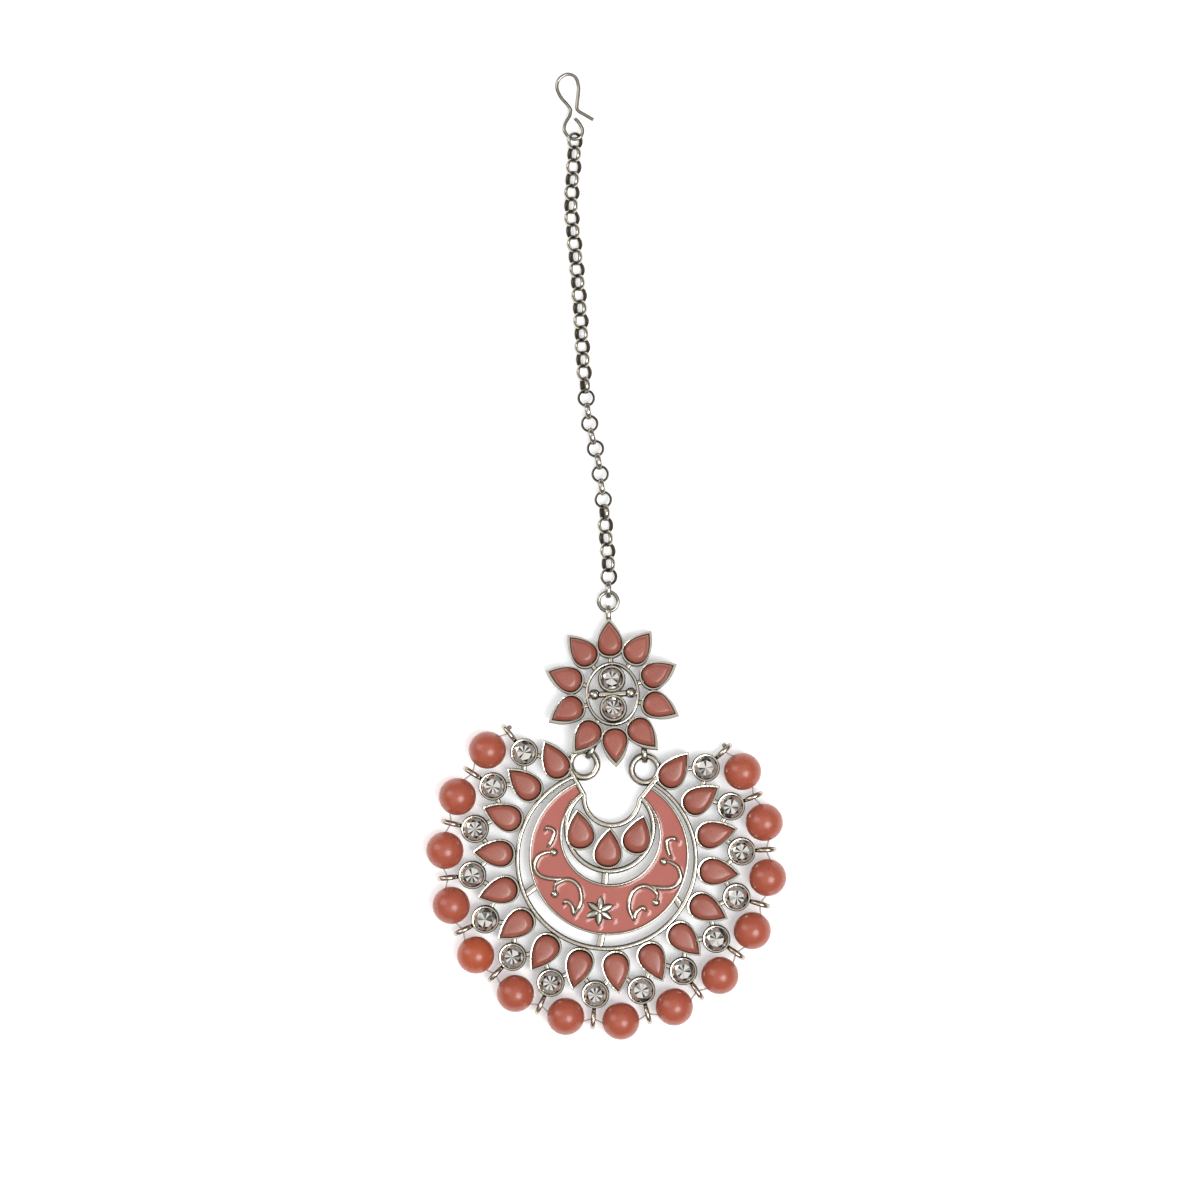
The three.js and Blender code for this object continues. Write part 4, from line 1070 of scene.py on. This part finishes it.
# Hook
# One bent wire: an open S-hook, its eye wound round the last link.
hook_wire, hook_low = 0.54, 0.29
# Across and along from the end of the chain, and height as a share from the bend to the eye
hook_route = [(2.9, 3.58, 0), (1.7, 4.31, 0), (0.55, 5.01, 0), (0.35, 5.76, 0), (0.55, 7.56, 0), (0.6, 8.86, 0),
              (0.1, 10.26, 0), (-1.1, 10.74, 0), (-2.35, 10.06, 0), (-2.8, 8.76, 0), (-2.25, 7.26, 0),
              (-1.15, 5.91, 0.25), (-0.65, 5.11, 0.4), (-0.8, 4.16, 0.55), (-1.5, 2.86, 0.8), (-1.6, 1.81, 0.95),
              (-0.95, 0.81, 1), (0, 0.46, 1), (0.9, 0.81, 1), (1.25, 1.86, 0.9), (0.7, 3.01, 0.7), (0.05, 3.71, 0.55)]
chain_end = np.array(chain_route[-1]) + chain_start
hook_points = [
    (chain_end[0] + x, chain_end[1] + y, hook_low + (chain_radius - hook_low) * share) for x, y, share in hook_route
]
hook_path = smooth_path(hook_points, 150)
hook_form = swept(hook_path, wire_section(hook_wire, hook_wire, 14))
piece("bent_hook", mesh_of("bent_hook", [hook_form]), dull_wire, "silver", "hook")

# Table, camera and lights
# The piece lies on a plain white table and is seen from straight above.
table = bpy.data.objects.new("table", bpy.data.meshes.new("table"))
reach = 1.5
table.data.from_pydata([(-reach, -reach, 0), (reach, -reach, 0), (reach, reach, 0), (-reach, reach, 0)], [],
                       [(0, 1, 2, 3)])
bpy.context.scene.collection.objects.link(table)


def table_looks(field):
    cloud = field.noise(60.0, detail=2.0)
    return {"Base Color": cloud.colours((0.93, 0.93, 0.93, 1), (0.90, 0.90, 0.905, 1))}


table.data.materials.append(finish(
    "white_table",
    {"Roughness": 0.9, "Specular IOR Level": 0.1, "Emission Color": (1, 1, 1, 1), "Emission Strength": 0.33},
    table_looks,
))

picture_side, pixels_per_mm = 1200, 6.38
crescent_right, crescent_down = 606.6, 858.7
view_width = picture_side / pixels_per_mm * MM
view_x = crescent_x + (picture_side / 2 - crescent_right) / pixels_per_mm
view_y = crescent_y + (crescent_down - picture_side / 2) / pixels_per_mm
camera_height = 0.8
lens = bpy.data.cameras.new("camera")
lens.sensor_width = 36
lens.lens = 36 * camera_height / view_width
camera = bpy.data.objects.new("camera", lens)
camera.location = (view_x * MM, view_y * MM, camera_height)
bpy.context.scene.collection.objects.link(camera)
bpy.context.scene.camera = camera


def softbox(name, place, size, watts):
    light = bpy.data.lights.new(name, "AREA")
    light.shape = "RECTANGLE"
    light.size, light.size_y = size
    light.energy = watts
    lamp = bpy.data.objects.new(name, light)
    lamp.location = place
    lamp.rotation_euler = (Vector((0, 0, 0)) - Vector(place)).to_track_quat("-Z", "Y").to_euler()
    bpy.context.scene.collection.objects.link(lamp)


softbox("ceiling", (0, 0, 1.15), (2, 2), 9)
softbox("key", (0.35, -0.25, 0.9), (0.5, 0.5), 6.5)
softbox("left", (-0.8, 0.3, 0.6), (0.5, 0.7), 3)
world = bpy.data.worlds.new("room")
world.use_nodes = True
world.node_tree.nodes["Background"].inputs["Color"].default_value = (0.75, 0.76, 0.78, 1)
world.node_tree.nodes["Background"].inputs["Strength"].default_value = 0.3
bpy.context.scene.world = world
bpy.context.scene.view_settings.view_transform = "Standard"
